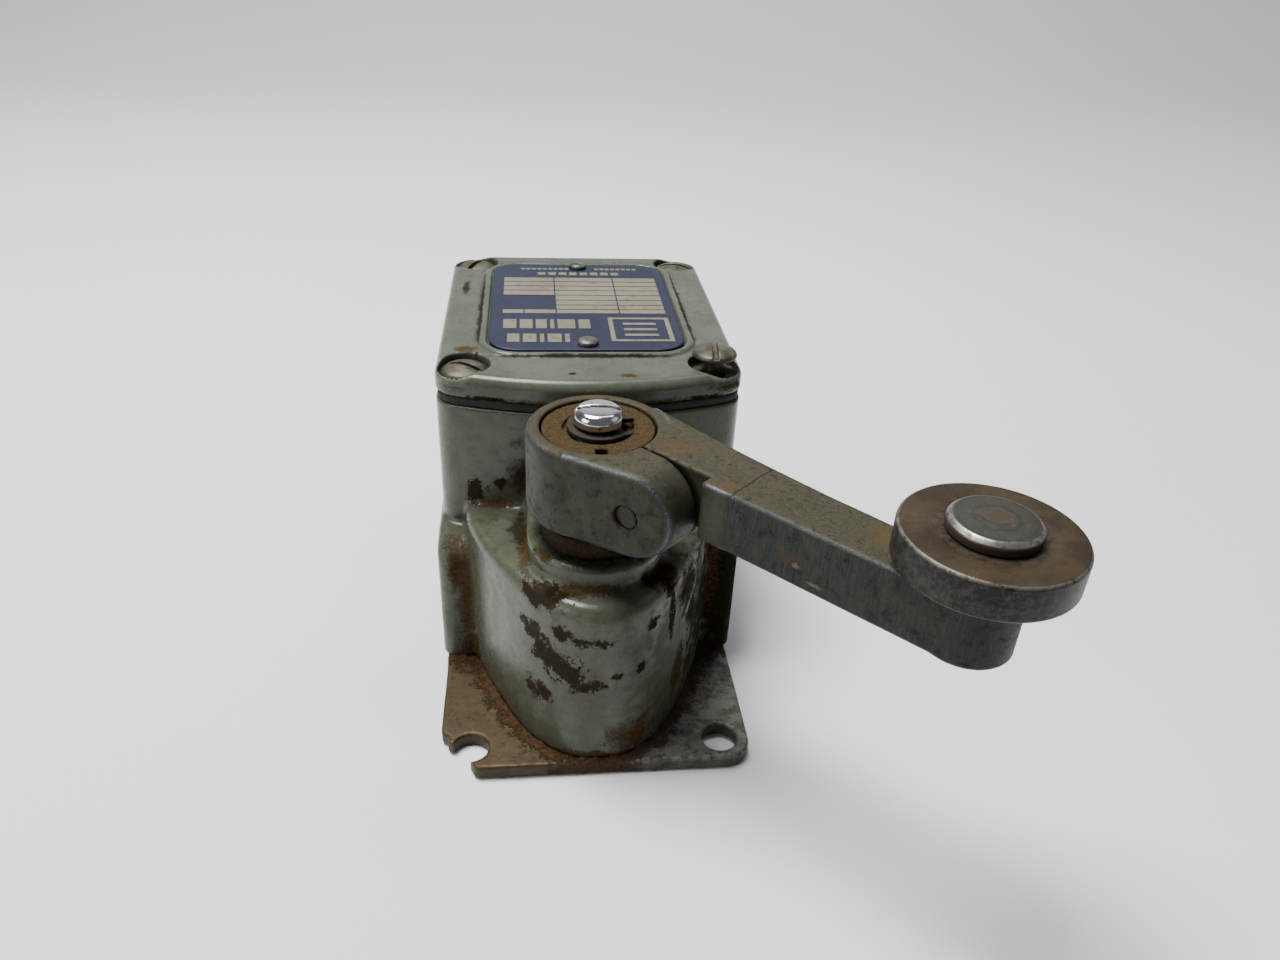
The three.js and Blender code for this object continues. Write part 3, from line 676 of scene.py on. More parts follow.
def lever_material():
    s = Shader("lever_plating", specular=0.2)
    along = s.weigh(s.x, ARM_COS, s.y, ARM_SIN)
    across = s.weigh(s.y, ARM_COS, s.x, -ARM_SIN)
    broad, middle, fine, grain = s.noises((0.1, 5, 0.6), (0.5, 7, 0.66), (2.3, 6, 0.68), (5.0, 3, 0.6))
    milled = s.noise(1.0, 4, 0.65, place=s.join(s.mul(along, 6.5), s.mul(across, 6.5), s.mul(s.z, 0.2)))
    top = s.step(s.z, 66.9, 67.5)
    s.color = s.mix(s.step(broad, 0.38, 0.62), rgb(12, 13, 7), rgb(24, 26, 15))
    dusty = s.mix(s.step(s.weigh(middle, 0.5, fine, 0.5), 0.4, 0.58), rgb(18, 16, 8), rgb(46, 42, 23))
    s.tint(top, 0.85, dusty)
    on_arm = s.mul(s.step(along, 31.0, 32.0), s.step(s.z, 67.4, 67.0))
    brushed = s.mix(s.step(milled, 0.4, 0.66), rgb(9, 12, 9), rgb(22, 27, 21))
    s.tint(on_arm, 0.9, brushed)
    stain = s.step(s.weigh(middle, 0.65, fine, 0.35), 0.515, 0.6)
    s.tint(stain, 0.8, rgb(9, 7, 3))
    pale = s.step(s.weigh(s.noise(0.7, 7, 0.7), 0.7, fine, 0.3), 0.55, 0.64)
    s.tint(pale, 0.45, rgb(48, 52, 36))
    tan = s.step(s.add(s.noise(0.2, 6, 0.6), s.sway(fine, 0.45)), 0.55, 0.68)
    s.tint(tan, 0.4, rgb(42, 29, 13))
    rusty_top = s.patch([(0, 0, 67.8, 14, 14, 3), (13.5, -9, 67.8, 5.5, 4, 2), (19, -22.5, 67.8, 5, 3, 2),
                         (43, -38, 67.8, 5, 4, 2), (0, 12.3, 67.8, 9, 1.5, 1.5)], fine, 2.4, -0.1, 0.8)
    s.tint(s.mul(rusty_top, top), 0.6, rgb(52, 28, 8))
    neck = s.patch([(18.2, -22.6, 62, 3.2, 3.6, 7.5)], middle, 2.4, -0.1, 0.8)
    s.tint(neck, 0.55, rgb(50, 47, 26))
    gouge = s.patch([(31.5, -38.3, 58.4, 2.6, 2.2, 0.55), (29, -35.5, 60.4, 1.6, 1.5, 1)], fine, 1.4, 0.15,
                    0.4)
    s.tint(gouge, 0.75, rgb(105, 82, 40))
    blot = s.patch([(28, -34, 61.2, 2.4, 2.4, 1.6), (24.5, -30, 59, 1.5, 1.5, 1.2)], fine, 1.4, 0.1, 0.5)
    s.tint(blot, 0.7, rgb(34, 17, 8))
    crevice = s.mask("crevice")
    s.tint(s.step(crevice, 0.2, 0.65), 0.9, rgb(10, 7, 5))
    scribe = s.math("ABSOLUTE", s.add(along, s.mul(s.noise(0.6, 2), 0.5), -32.6))
    scribe = s.mul(s.step(scribe, 0.22, 0.07), s.step(s.z, 67.2, 67.6))
    s.tint(scribe, 0.85, rgb(10, 8, 5))
    screw = s.zones([(3.45, -18.35, HUB_MID, 4.2, 4.2, 4.2)])
    kept = s.mul(s.step(screw, 0.25, 0.1), s.step(crevice, 0.35, 0.12))
    edge = s.mask("rim")
    # Edges worn to bare metal, tinted bluish as a painted sheen.
    worn = s.mul(s.step(s.add(edge, s.sway(middle, 0.9)), 0.4, 0.95), kept)
    s.tint(worn, 0.75, rgb(48, 54, 58))
    # A painted highlight: a bluish-white line along the rounded outer edges.
    painted_highlight = s.mul(s.step(s.add(edge, s.sway(fine, 0.8)), 0.8, 1.1), kept)
    s.tint(painted_highlight, 0.7, rgb(112, 126, 140))
    s.tint(s.step(grain, 0.6, 0.68), 0.35, rgb(12, 9, 6))
    rough = s.weigh(middle, 0.22, worn, -0.16, stain, 0.15, top, 0.1, base=0.40)
    height = s.weigh(middle, 0.08, fine, 0.04, scribe, -0.14, grain, 0.02, s.mul(milled, on_arm), 0.05,
                     stain, -0.03, gouge, -0.15)
    return s.finish(rough, s.mul(worn, 0.6), height)


def plate_material():
    s = Shader("plate_bare_steel", specular=0.3)
    broad, middle, fine, grain = s.noises((0.06, 5, 0.6), (0.38, 8, 0.66), (2.0, 6, 0.68), (4.5, 3, 0.6))
    left = s.step(s.add(s.x, s.mul(broad, 14.0)), 20.0, 6.0)
    side = s.step(s.z, PLATE_TOP - 0.3, PLATE_TOP - 0.9)
    s.color = s.mix(left, rgb(130, 126, 110), rgb(46, 30, 10))
    s.tint(s.step(middle, 0.42, 0.62), 0.6, rgb(28, 18, 8))
    s.tint(s.step(s.noise(0.8, 7, 0.7), 0.55, 0.63), 0.75, rgb(10, 7, 3))
    s.tint(side, 0.55, rgb(28, 23, 13))
    # Painted shade: darker patches on the plate's right, beside the nose.
    dark_right = s.patch([(24, 6, 3.2, 9, 12, 4), (13, -10, 3.2, 6, 8, 4)], middle, 1.5, 0.0, 0.6)
    s.tint(dark_right, 0.25, SOOT_AND_SHADE)
    crust = s.step(s.add(s.mask("grime"), s.sway(fine, 1.4), s.sway(middle, 1.6)), 0.42, 0.8)
    rust = s.mix(s.step(s.weigh(fine, 0.6, grain, 0.4), 0.42, 0.6), RUST_DARK, rgb(86, 36, 8))
    s.tint(crust, 0.92, rust)
    worn = s.step(s.add(s.mask("edge"), s.sway(middle, 1.4)), 0.4, 0.7)
    s.tint(worn, 0.45, rgb(115, 108, 92))
    rough = s.weigh(middle, 0.25, crust, 0.35, base=0.38)
    metal = s.math("SUBTRACT", 0.35, s.mul(crust, 0.35), clamp=True)
    height = s.weigh(middle, 0.1, fine, 0.05, s.mul(crust, fine), 0.6)
    return s.finish(rough, metal, height)


def steel_material(name, light, dark, rust=0.3, rough=0.45, metallic=0.8, scale=1.0, grain=0.03):
    """Old bare or plated steel with brown stains; grain is its surface depth in millimetres."""
    s = Shader(name, specular=0.3)
    broad, fine = s.noises((0.25 * scale, 5, 0.6), (2.2 * scale, 6, 0.68))
    s.color = s.mix(s.step(broad, 0.38, 0.64), dark, light)
    stain = s.weigh(s.noise(0.7 * scale, 7, 0.66), 0.75, fine, 0.25)
    stain = s.step(stain, 0.60 - 0.16 * rust, 0.70 - 0.12 * rust)
    s.tint(stain, min(1.0, 0.35 + rust), rgb(34, 19, 8))
    roughness = s.weigh(broad, 0.15, stain, 0.25, base=rough)
    metal = s.math("SUBTRACT", metallic, s.mul(stain, 0.6 * metallic), clamp=True)
    height = s.weigh(broad, grain, fine, grain)
    return s.finish(roughness, metal, height)


def rust_material(name, light, dark, depth=0.16):
    s = Shader(name, specular=0.12)
    grains, middle = s.noises((2.2, 7, 0.75), (0.45, 6, 0.6))
    s.color = s.mix(s.step(grains, 0.38, 0.62), dark, light)
    s.tint(s.step(middle, 0.52, 0.7), 0.65, rgb(18, 11, 5))
    s.tint(s.step(s.noise(4.2, 3), 0.62, 0.7), 0.5, tuple(1.7 * c for c in light))
    return s.finish(s.weigh(grains, 0.2, base=0.70), None, s.weigh(grains, depth, middle, depth))


def rubber_material(name):
    s = Shader(name, specular=0.35)
    fine, middle = s.noises((2.0, 6, 0.65), (0.3, 5, 0.6))
    dust = s.step(s.weigh(middle, 0.7, fine, 0.3), 0.5, 0.7)
    s.color = s.mix(s.mul(dust, 0.35), rgb(8, 8, 8), rgb(40, 34, 24))
    rust = s.mul(s.step(s.z, 63.2, 63.7), s.step(s.noise(0.5, 6, 0.6), 0.45, 0.58))
    s.tint(rust, 0.8, rgb(80, 40, 16))
    return s.finish(s.weigh(fine, 0.25, base=0.62), None, s.weigh(fine, 0.06, middle, 0.1))


def roller_material():
    s = Shader("roller_oxidised", specular=0.3)
    radius = s.from_roller_axis()
    face = s.step(s.z, ROLLER_TOP - 0.3, ROLLER_TOP - 0.1)
    broad, middle, fine = s.noises((0.13, 5, 0.6), (0.7, 7, 0.7), (2.8, 5, 0.7))
    turned = s.noise(1.0, 4, 0.7, place=s.join(s.mul(radius, 2.5), 0.0, 0.0))
    s.color = s.mix(s.step(middle, 0.4, 0.62), rgb(10, 9, 7), rgb(36, 32, 27))
    s.tint(s.step(fine, 0.56, 0.68), 0.5, rgb(62, 57, 52))
    s.tint(s.step(fine, 0.42, 0.34), 0.7, rgb(8, 6, 5))
    rim = s.color
    s.color = s.mix(s.step(broad, 0.38, 0.62), rgb(19, 12, 5), rgb(36, 24, 10))
    s.tint(s.step(middle, 0.52, 0.7), 0.45, rgb(56, 39, 23))
    s.tint(s.step(turned, 0.52, 0.66), 0.18, rgb(62, 45, 28))
    red = s.mul(s.step(s.noise(0.22, 6, 0.65, warp=0.5), 0.58, 0.68), s.step(radius, 8.5, 11.0))
    s.tint(red, 0.7, rgb(75, 18, 6))
    halo = s.mul(s.step(radius, 9.6, 7.4), s.step(middle, 0.36, 0.6))
    s.tint(halo, 0.5, rgb(60, 40, 17))
    s.color = s.mix(face, rim, s.color)
    # A painted highlight: a pale ring on the roller's worn top edge.
    worn_edge_glint = s.step(s.math("ABSOLUTE", s.sub(radius, ROLLER_R - 0.22)), 0.3, 0.1)
    worn_edge_glint = s.mul(worn_edge_glint, s.step(middle, 0.36, 0.56))
    worn_edge_glint = s.mul(worn_edge_glint, s.step(s.z, ROLLER_TOP - 0.6, ROLLER_TOP - 0.25))
    s.tint(worn_edge_glint, 0.6, rgb(150, 140, 130))
    rough = s.weigh(middle, 0.25, worn_edge_glint, -0.08, base=0.30)
    height = s.weigh(middle, 0.05, fine, 0.03, turned, 0.015)
    return s.finish(rough, s.mix(face, 0.45, 0.25, "FLOAT"), height)


def pin_material():
    s = Shader("pin_turned_steel", metallic=0.85)
    radius = s.from_roller_axis()
    rings = s.noise(1.0, 3, 0.7, place=s.join(s.mul(radius, 3.2), s.mul(s.z, 0.5), 0.0))
    middle = s.noise(0.6, 7, 0.68)
    s.color = s.mix(s.step(rings, 0.35, 0.7), rgb(74, 69, 59), rgb(104, 98, 84))
    low = s.step(s.z, 77.9, 77.4)
    rust = s.patch([(ROLLER_XY[0] + 0.3, ROLLER_XY[1] + 0.6, 78.6, 3.6, 2.2, 2)], middle, 2.2, 0.2, 0.55)
    brown = s.max(s.mul(low, 0.85), s.max(rust, s.mul(s.step(middle, 0.56, 0.7), 0.6)))
    s.color = s.mix(brown, s.color, rgb(32, 19, 9))
    # A painted highlight: pale glints round the pin head's chamfer.
    edge = s.step(s.math("ABSOLUTE", s.sub(radius, 6.45)), 0.45, 0.2)
    s.tint(edge, s.step(middle, 0.66, 0.44), rgb(300, 290, 270))
    height = s.weigh(rings, 0.02, middle, 0.03)
    return s.finish(s.weigh(middle, 0.25, brown, 0.2, base=0.24), s.sub(0.9, s.mul(brown, 0.6)), height)


def chrome_material():
    s = Shader("chrome_plating", metallic=1.0)
    fine = s.noise(1.2, 6, 0.65)
    slot = s.step(s.mask("crevice"), 0.15, 0.5)
    s.color = s.mix(s.mul(s.step(fine, 0.58, 0.7), 0.35), rgb(660, 660, 690), rgb(300, 240, 180))
    s.color = s.mix(slot, s.color, rgb(60, 36, 18))
    return s.finish(s.weigh(fine, 0.12, slot, 0.5, base=0.07), None, s.mul(fine, 0.03))


def label_material(name, ink, worn, wear=0.5):
    s = Shader(name, specular=0.25)
    middle, fine = s.noises((0.5, 6, 0.65), (2.4, 5, 0.6))
    s.color = s.mix(s.step(s.noise(0.08, 3), 0.35, 0.7), ink, tuple(0.8 * c for c in ink))
    s.tint(s.step(s.weigh(middle, 0.7, fine, 0.3), 0.54, 0.66), wear, worn)
    s.tint(s.step(s.noise(1.2, 5, 0.7), 0.62, 0.67), 0.6, rgb(30, 24, 18))
    return s.finish(s.weigh(middle, 0.2, base=0.40), None, s.weigh(middle, 0.03, fine, 0.01))


def plain_material(name, color, metallic=0.0, rough=0.5):
    """A simple varied finish for the pieces inside the switch."""
    s = Shader(name, metallic=metallic)
    middle = s.noise(0.8, 6, 0.6)
    s.color = s.mix(s.step(middle, 0.35, 0.7), tuple(0.72 * c for c in color), color)
    return s.finish(s.weigh(middle, 0.2, base=rough - 0.08), None, s.mul(middle, 0.02))


def dress(obj, material):
    obj.data.materials.clear()
    obj.data.materials.append(material)
    return obj


def place(obj, material, body, slot, *nodes):
    """Dress a piece, ride it on its body and let it stand for its CAD nodes."""
    dress(obj, material)
    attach(obj, body)
    if nodes:
        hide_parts(*nodes)
    return obj


# ---------------------------------------------------------------- housing, cover, gasket, plate
# Each spot is a centre and three radii, all along x, y and z.
HOUSING_CHIPS = [
    (-9.6, -16, 26.6, 8, 6, 4.6), (-6, -18, 24.4, 6.5, 5, 4), (-2.6, -19.2, 21.8, 6.5, 4, 3),
    (-12.8, -12.5, 30.4, 4.5, 4.5, 3.4), (-11.5, -14.5, 16.6, 3.6, 5.4, 4), (-10.5, -12.5, 38.2, 8, 6.5, 3),
    (-1.5, -19, 32.3, 6.5, 3, 1.7), (-7, -17.2, 32.8, 5, 3, 2.4), (3, -19.2, 23.9, 1.5, 1.8, 1.3),
    (8.2, -17.2, 24.1, 1.3, 1.8, 1.7), (10.5, -14.9, 33.3, 2.8, 2.2, 1.9), (14.8, -10, 31, 1.3, 2.2, 9),
    (14, -10.5, 37.6, 2.6, 3.5, 2.4), (-24, 18.9, 42.6, 3.2, 2.6, 3.8), (-19, 17, 45, 2.2, 2, 2.6),
]
HOUSING_RUSTS = [
    (-26.6, 12, 20, 2.4, 3, 18), (-29.4, 13.6, 34.8, 3.4, 3, 3.4), (-25.6, 11.4, 6.5, 3.5, 3, 5),
    (-28.6, 12, 28, 2, 2.4, 7), (-14, -2, 40.4, 1.6, 9, 1.6), (-4.9, -13.4, 40, 10, 2, 1.2),
    (-13.8, 12, 45, 2.4, 7, 4), (7.4, -18.5, 7.3, 7, 4, 4.2), (0, -19.5, 3.6, 15, 8, 1.6),
    (-20, -2, 3.6, 5.5, 13, 2), (-19, 18.5, 40, 6, 2.6, 1.6), (26.6, 12, 26, 1.9, 2.6, 12),
    (17, -6, 14, 2.6, 5, 5), (14, -9, 38.6, 3.6, 4, 2), (-12, -9, 44.2, 4, 4, 1.2), (24, 16, 42, 4, 3, 3),
]
# Soot and painted shade: under the hub, under the cover, and on the nose's and skirt's right side in the
# lever's shadow.
HOUSING_SOOT_AND_SHADE = [
    (11.7, -9, 40, 5.5, 6, 2.2), (30, 11.7, 20, 8, 6, 26), (22.5, 4, 22, 6.5, 11, 26),
    (26, 12, 34, 7, 6, 7), (-4, 15.5, 55, 12, 3, 6), (-12, 16.5, 47, 8, 2.4, 5),
    (0, 0, 44.5, 14.5, 14.5, 1.2), (-15, 8, 39.5, 3, 8, 1.6), (18, 17, 46, 6, 3, 7),
    (18.5, -2.5, 33, 3.6, 6, 8),
]
# Painted shade with grime: the nose's right flank and the skirt's right side, in the lever's shadow.
HOUSING_SHADE_AND_GRIME = [
    (14, -8, 20, 15, 14, 26), (30, 12, 18, 12, 12, 30), (31, 12, 24, 10, 5, 22),
]
RIDGE_FROM, RIDGE_TO = np.array((21.7, 3.0, 39.0)), np.array((14.6, -10.2, 38.2))
# A painted highlight along the nose's right top ridge, as a chain of spots; then three scratches lower on
# that flank.
HOUSING_SCRATCHES_AND_GLINTS = [
    (*(RIDGE_FROM + (RIDGE_TO - RIDGE_FROM) * part), 0.95, 1.5, 0.9) for part in np.linspace(0, 1, 14)]
HOUSING_SCRATCHES_AND_GLINTS += [(15.2, -9.8, z, 0.45, 0.9, 2.2) for z in (35, 31, 27)]

COVER_CHIPS = [
    (-20, 18.5, 64.2, 7, 3, 0.9), (4, 15.6, 64.1, 12, 3, 0.6), (22, 19.5, 64.3, 6, 3, 0.8),
    (-31, 60, 64.2, 1.6, 20, 0.6), (31, 60, 64.2, 1.6, 20, 0.6), (-4, 20.5, 68.7, 1.2, 0.8, 0.6),
]
COVER_RUSTS = [
    (0, 16.5, 63.9, 30, 5, 0.9), (28.5, 21.5, 66, 2.6, 2.6, 1.6), (7, 19.5, 68.7, 2.2, 1, 0.6),
    (-25.5, 33, 68.8, 3, 2, 0.8),
]
# Soot and painted shade: dark lines in the label groove, darker screw recesses, and a streak of specks.
COVER_SOOT_AND_SHADE = [
    (0, 29.3, 68.7, 24, 0.7, 0.8), (-23.4, 58, 68.7, 0.7, 28, 0.8), (23.4, 58, 68.7, 0.7, 28, 0.8),
    (-25.8, 25.8, 66, 6.5, 6.5, 2.2), (25.8, 25.8, 66, 6.5, 6.5, 2.2), (-27.5, 70, 68.7, 1.2, 6, 0.7),
]

housing_enamel = paint_material(
    "housing_enamel", rgb(68, 76, 54), rgb(48, 54, 36), HOUSING_CHIPS, HOUSING_RUSTS, HOUSING_SOOT_AND_SHADE, 1.0,
    HOUSING_SCRATCHES_AND_GLINTS, HOUSING_SHADE_AND_GRIME)
housing = cast_piece("housing_casting", "housing", housing_field, (1.1, 0.55), 1.6,
                     dents(0.05, 9.0, 1, 0.02))
place(housing, housing_enamel, BODY, "housing_paint", "housing")

cover_enamel = paint_material(
    "cover_enamel", rgb(69, 77, 58), rgb(51, 58, 41), COVER_CHIPS, COVER_RUSTS, COVER_SOOT_AND_SHADE, 0.7)
cover = cast_piece("cover_casting", "cover", cover_field, (0.7, 0.38), 0.9, dents(0.03, 8.0, 2, 0.01))
place(cover, cover_enamel, BODY, "cover_paint", "cover")

gasket = cast_piece("gasket_ring", "cover_gasket", gasket_field, (0.8, 0.5), 0.8, dents(0.12, 5.0, 3, 0.1))
place(gasket, rubber_material("gasket_rubber"), BODY, "rubber", "cover_gasket")


def plate_swell(v):
    """Dents, and rust and dirt built up round the foot of the housing."""
    x, y, z = v.T
    close = clip(1 - housing_outside(x, y, maximum(z, ABOVE_FOOT)) / 4.5, 0, 1)
    on_top = clip((z - PLATE_TOP + 0.6) / 0.5, 0, 1)
    crumbs = clip(lumps(v, 1.6, 4) + 0.6 * lumps(v, 0.8, 5) + 0.25, 0, 1)
    low_edge = clip(PLATE_LO[1] + 1.5 - y, 0, 1) * clip(lumps(v, 1.3, 6) - 0.1, 0, 1)
    return 0.05 * lumps(v, 6.0, 7) - 0.04 + 0.75 * close ** 1.5 * crumbs * on_top + 0.25 * low_edge


plate = cast_piece("plate_worn", "mounting_plate", plate_field, (0.9, 0.45), 0.8, plate_swell)
plate_x, plate_y, _ = point_rows(plate).T
from_housing = housing_outside(plate_x, plate_y, np.full(len(plate_x), ABOVE_FOOT))
add_attribute(plate, "grime", clip(1 - from_housing / 7.0, 0, 1))
place(plate, plate_material(), BODY, "plate_steel", "mounting_plate")


# ---------------------------------------------------------------- nameplate, blank fields only
def label_field(x, y, z):
    return rmax(label_ring(x, y, 0.0), slab(z, LABEL_LO[2], LABEL_TOP), 0.12)


nameplate = cast_piece("nameplate_sheet", "nameplate", label_field, (0.35, 0.35), 0.3,
                       dents(0.03, 11.0, 8, 0.03))
place(nameplate, label_material("nameplate_blue", rgb(8, 11, 31), rgb(17, 17, 23), 0.5),
      BODY, "nameplate_enamel", "nameplate")


def printed_fields():
    """Pale blank bars and cells: a heading, a panel and a rating table with nothing written in them."""
    cells = []
    # Two heading lines of plain blocks.
    for left, widths, y0, y1 in ((-17.2, (2.6, 2.9, 0.9, 3.0, 1.0), 35.2, 39.8),
                                 (-18.2, (2.9, 2.8, 2.4, 0.9, 3.9, 2.6), 42.9, 48.2)):
        for width in widths:
            cells.append((left, left + width, y0, y1))
            left += width + 0.75
    # A framed panel.
    x0, x1, y0, y1 = 5.2, 19.0, 35.7, 49.4
    cells += [(x0, x1, y0, y0 + 1.0), (x0, x1, y1 - 1.0, y1), (x0, x0 + 1.0, y0 + 1.0, y1 - 1.0),
              (x1 - 1.0, x1, y0 + 1.0, y1 - 1.0), (8.4, 15.8, 38.7, 39.9), (8.4, 15.8, 41.9, 43.1),
              (8.4, 15.8, 45.1, 46.3)]
    # The rating table, with nothing in its cells.
    columns = (-18.6, -6.3, 8.2, 19.0)
    rows = (51.8, 54.4, 57.2, 60.4, 63.7, 67.0, 70.1, 73.2, 76.3)
    for low, high in zip(rows, rows[1:]):
        spans = list(zip(columns, columns[1:]))
        if 54.4 <= low < 63.0:
            spans = spans[1:]
        elif low < 54.4:
            spans = [(-18.6, -13.6), (-13.6, -6.3)] + spans[1:]
        cells += [(a + 0.16, b - 0.16, low + 0.2, high - 0.2) for a, b in spans]
    # Small blocks along the far edge.
    for left, width, count, y0, y1 in ((-10.2, 1.9, 8, 78.2, 80.2), (-14.4, 1.0, 9, 82.2, 83.4),
                                       (4.2, 1.0, 8, 82.2, 83.4)):
        for i in range(count):
            x0 = left + i * width * 1.38
            cells.append((x0, x0 + width, y0, y1))
    work = bmesh.new()
    for x0, x1, y0, y1 in cells:
        low, high = LABEL_TOP - 0.05, LABEL_TOP + 0.03
        ring = [(x0, y0), (x1, y0), (x1, y1), (x0, y1)]
        base = [work.verts.new(Vector((x, y, low)) * MM) for x, y in ring]
        top = [work.verts.new(Vector((x, y, high)) * MM) for x, y in ring]
        work.faces.new(top)
        work.faces.new(base[::-1])
        for i in range(4):
            j = (i + 1) % 4
            work.faces.new((base[i], base[j], top[j], top[i]))
    mesh = bpy.data.meshes.new("nameplate_fields")
    work.to_mesh(mesh)
    work.free()
    return new_object("nameplate_fields", mesh)


place(printed_fields(), label_material("nameplate_pale", rgb(150, 138, 100), rgb(50, 40, 24), 0.75),
      BODY, "nameplate_enamel")

rivet_steel = steel_material("rivet_steel", rgb(120, 118, 108), rgb(50, 48, 42), rust=0.35, rough=0.35,
                             metallic=0.6)
for end in ("near", "far"):
    node = f"nameplate_rivet_{end}"
    lo, hi = mm_box(node)
    top = hi[2]
    rivet = turned_piece(f"rivet_{end}", fillet([
        (0, lo[2]), (1.0, lo[2]), (1.0, LABEL_TOP + 0.02), (2.3, LABEL_TOP + 0.02), (2.15, top - 0.55),
        (1.4, top - 0.15), (0, top)], 0.25), ((lo + hi) / 2)[:2], 48)
    place(rivet, rivet_steel, BODY, "pin_steel", node)


# ---------------------------------------------------------------- screws
def slotted_head(centre, seat, top, length, slot_degrees, slot_width, slot_depth, crown, shoulder=0.5):
    """Field of a domed, slotted screw; crown is the radius of its dome."""
    head_r, shank_r = 4.7, 2.05
    turn = math.radians(slot_degrees)

    def field(x, y, z):
        px, py = x - centre[0], y - centre[1]
        r = hypot(px, py)
        dome = hypot(r, z - (top - crown)) - crown
        head = rmax(rmax(r - head_r, seat - z, 0.25), dome, shoulder)
        shank = rmax(r - shank_r, abs(z - (seat - length / 2 + 0.1)) - length / 2 - 0.1, 0.3)
        ridges = 0.16 * abs(((z / 0.8) % 1.0) - 0.5)
        body = rmin(head, shank + ridges, 0.15)
        across = abs(px * math.sin(turn) - py * math.cos(turn)) - slot_width / 2
        slot = rmax(across, top - slot_depth - z, 0.15)
        return rmax(body, -slot, 0.18)

    return field


screw_steel = steel_material("screw_zinc", rgb(82, 78, 54), rgb(36, 32, 20), rust=0.35, rough=0.36,
                             metallic=0.4, scale=1.4, grain=0.06)
COVER_SCREWS = {"near_left": -28, "near_right": 84, "far_left": 60, "far_right": -12}
for spot, turn in COVER_SCREWS.items():
    node = f"cover_screw_{spot}"
    lo, hi = mm_box(node)
    field = slotted_head((lo + hi) / 2, seat=hi[2] - 2.1, top=hi[2], length=22.0, slot_degrees=turn,
                         slot_width=1.1, slot_depth=1.35, crown=9.5)
    screw = cast_piece(f"screw_{spot}", node, field, (0.5, 0.22), 0.4, dents(0.03, 1.5, 9, 0.02))
    place(screw, screw_steel, BODY, "screw_steel", node)

chrome_top = mm_box("centre_screw")[1][2]
chrome_head = slotted_head((0, 0), seat=chrome_top - 3.2, top=chrome_top, length=11.3, slot_degrees=-3,
                           slot_width=0.9, slot_depth=1.1, crown=15.0, shoulder=1.3)


def chrome_field(x, y, z):
    """The centre screw, with a flat worn on its right side."""
    return rmax(chrome_head(x, y, z), x - 4.25, 0.25)


chrome = cast_piece("centre_screw_chromed", "centre_screw", chrome_field, (0.4, 0.16), 0.35)
place(chrome, chrome_material(), LEVER, "chrome", "centre_screw")


# ---------------------------------------------------------------- lever
lever = cast_piece("lever_forging", "lever_arm", lever_field, (0.8, 0.4), 0.8, dents(0.035, 5.0, 10, 0.015))
add_attribute(lever, "rim", lever_rims(point_rows(lever)))
place(lever, lever_material(), LEVER, "lever_cast", "lever_arm")


def bush_field(x, y, z):
    r = hypot(x, y)
    disc = rmax(rmax(r - BUSH_HI[0], 5.3 - r, 0.3), slab(z, BUSH_LO[2], BUSH_HI[2]), 0.35)
    disc = rmax(disc, -maximum(r - 6.6, 66.6 - z), 0.3)
    key = maximum(maximum(abs(x) - 1.1, abs(y + 10.3) - 1.9), 63.5 - z)
    return rmax(disc, -key, 0.2)


def bush_swell(points):
    return 0.07 * lumps(points, 0.9, 11) + 0.05 * lumps(points, 2.5, 12) - 0.05


bush = cast_piece("hub_bush_rusty", "hub_bushing", bush_field, (0.6, 0.3), 0.5, bush_swell)
place(bush, rust_material("bush_rust", rgb(58, 38, 14), rgb(20, 12, 5)), LEVER, "rusty_steel", "hub_bushing")


def split_washer(r0, r1, z0, thick, gap_at, gap_width, lift):
    """A spring washer with its two ends sprung apart and flared."""
    steps = 96
    middle, half = (r0 + r1) / 2, (r1 - r0) / 2
    section = [(half * side, thick / 2 * level) for side, level in ((-1, -1), (1, -1), (1, 1), (-1, 1))]
    verts, faces = [], []
    start, end = gap_at + gap_width / 2, gap_at + 2 * math.pi - gap_width / 2
    for i in range(steps + 1):
        t = i / steps
        a = start + (end - start) * t
        tail = max(0.0, 1 - t / 0.12) - max(0.0, 1 - (1 - t) / 0.12)
        rise = lift * (1 - 2 * t) * 0.5 + 0.35 * tail
        flare = 0.9 * max(0.0, 1 - min(t, 1 - t) / 0.06)
        for dr, dz in section:
            r = middle + dr + flare
            verts.append((r * math.cos(a), r * math.sin(a), z0 + thick / 2 + rise + dz))
    for i in range(steps):
        for j in range(4):
            k = (j + 1) % 4
            faces.append((4 * i + j, 4 * i + k, 4 * i + 4 + k, 4 * i + 4 + j))
    faces.append((3, 2, 1, 0))
    last = 4 * steps
    faces.append((last, last + 1, last + 2, last + 3))
    obj = new_mesh("split_washer", np.array(verts), np.array(faces))
    turn_faces_out(obj.data)
    soft_bevel(obj, 0.22, 3)
    return obj


washer = split_washer(r0=2.9, r1=5.9, z0=WASHER_LO[2] + 0.1, thick=1.05, gap_at=math.radians(-6),
                      gap_width=math.radians(26), lift=0.7)
washer_brown = steel_material("washer_brown", rgb(20, 14, 8), rgb(10, 7, 4), rust=0.5, rough=0.55,
                              metallic=0.2, scale=1.5, grain=0.08)
place(washer, washer_brown, LEVER, "roller_steel", "lock_washer")


def clamp_field(wx, wy, z):
    x, y = lever_axes(wx, wy)
    x, z = x - CLAMP_X, z - HUB_MID
    r = hypot(x, z)
    shank = rmax(r - 2.3, abs(y + 0.8) - 9.0, 0.35)
    head = rmax(r - 3.8, abs(y - 8.75) - 1.85, 0.3)
    hexagon = [abs(x * math.cos(a) + z * math.sin(a)) - 1.7 for a in (0, math.pi / 3, 2 * math.pi / 3)]
    socket = maximum(maximum.reduce(hexagon), 8.4 - y)
    return rmax(rmin(shank, head, 0.2), -socket, 0.15)


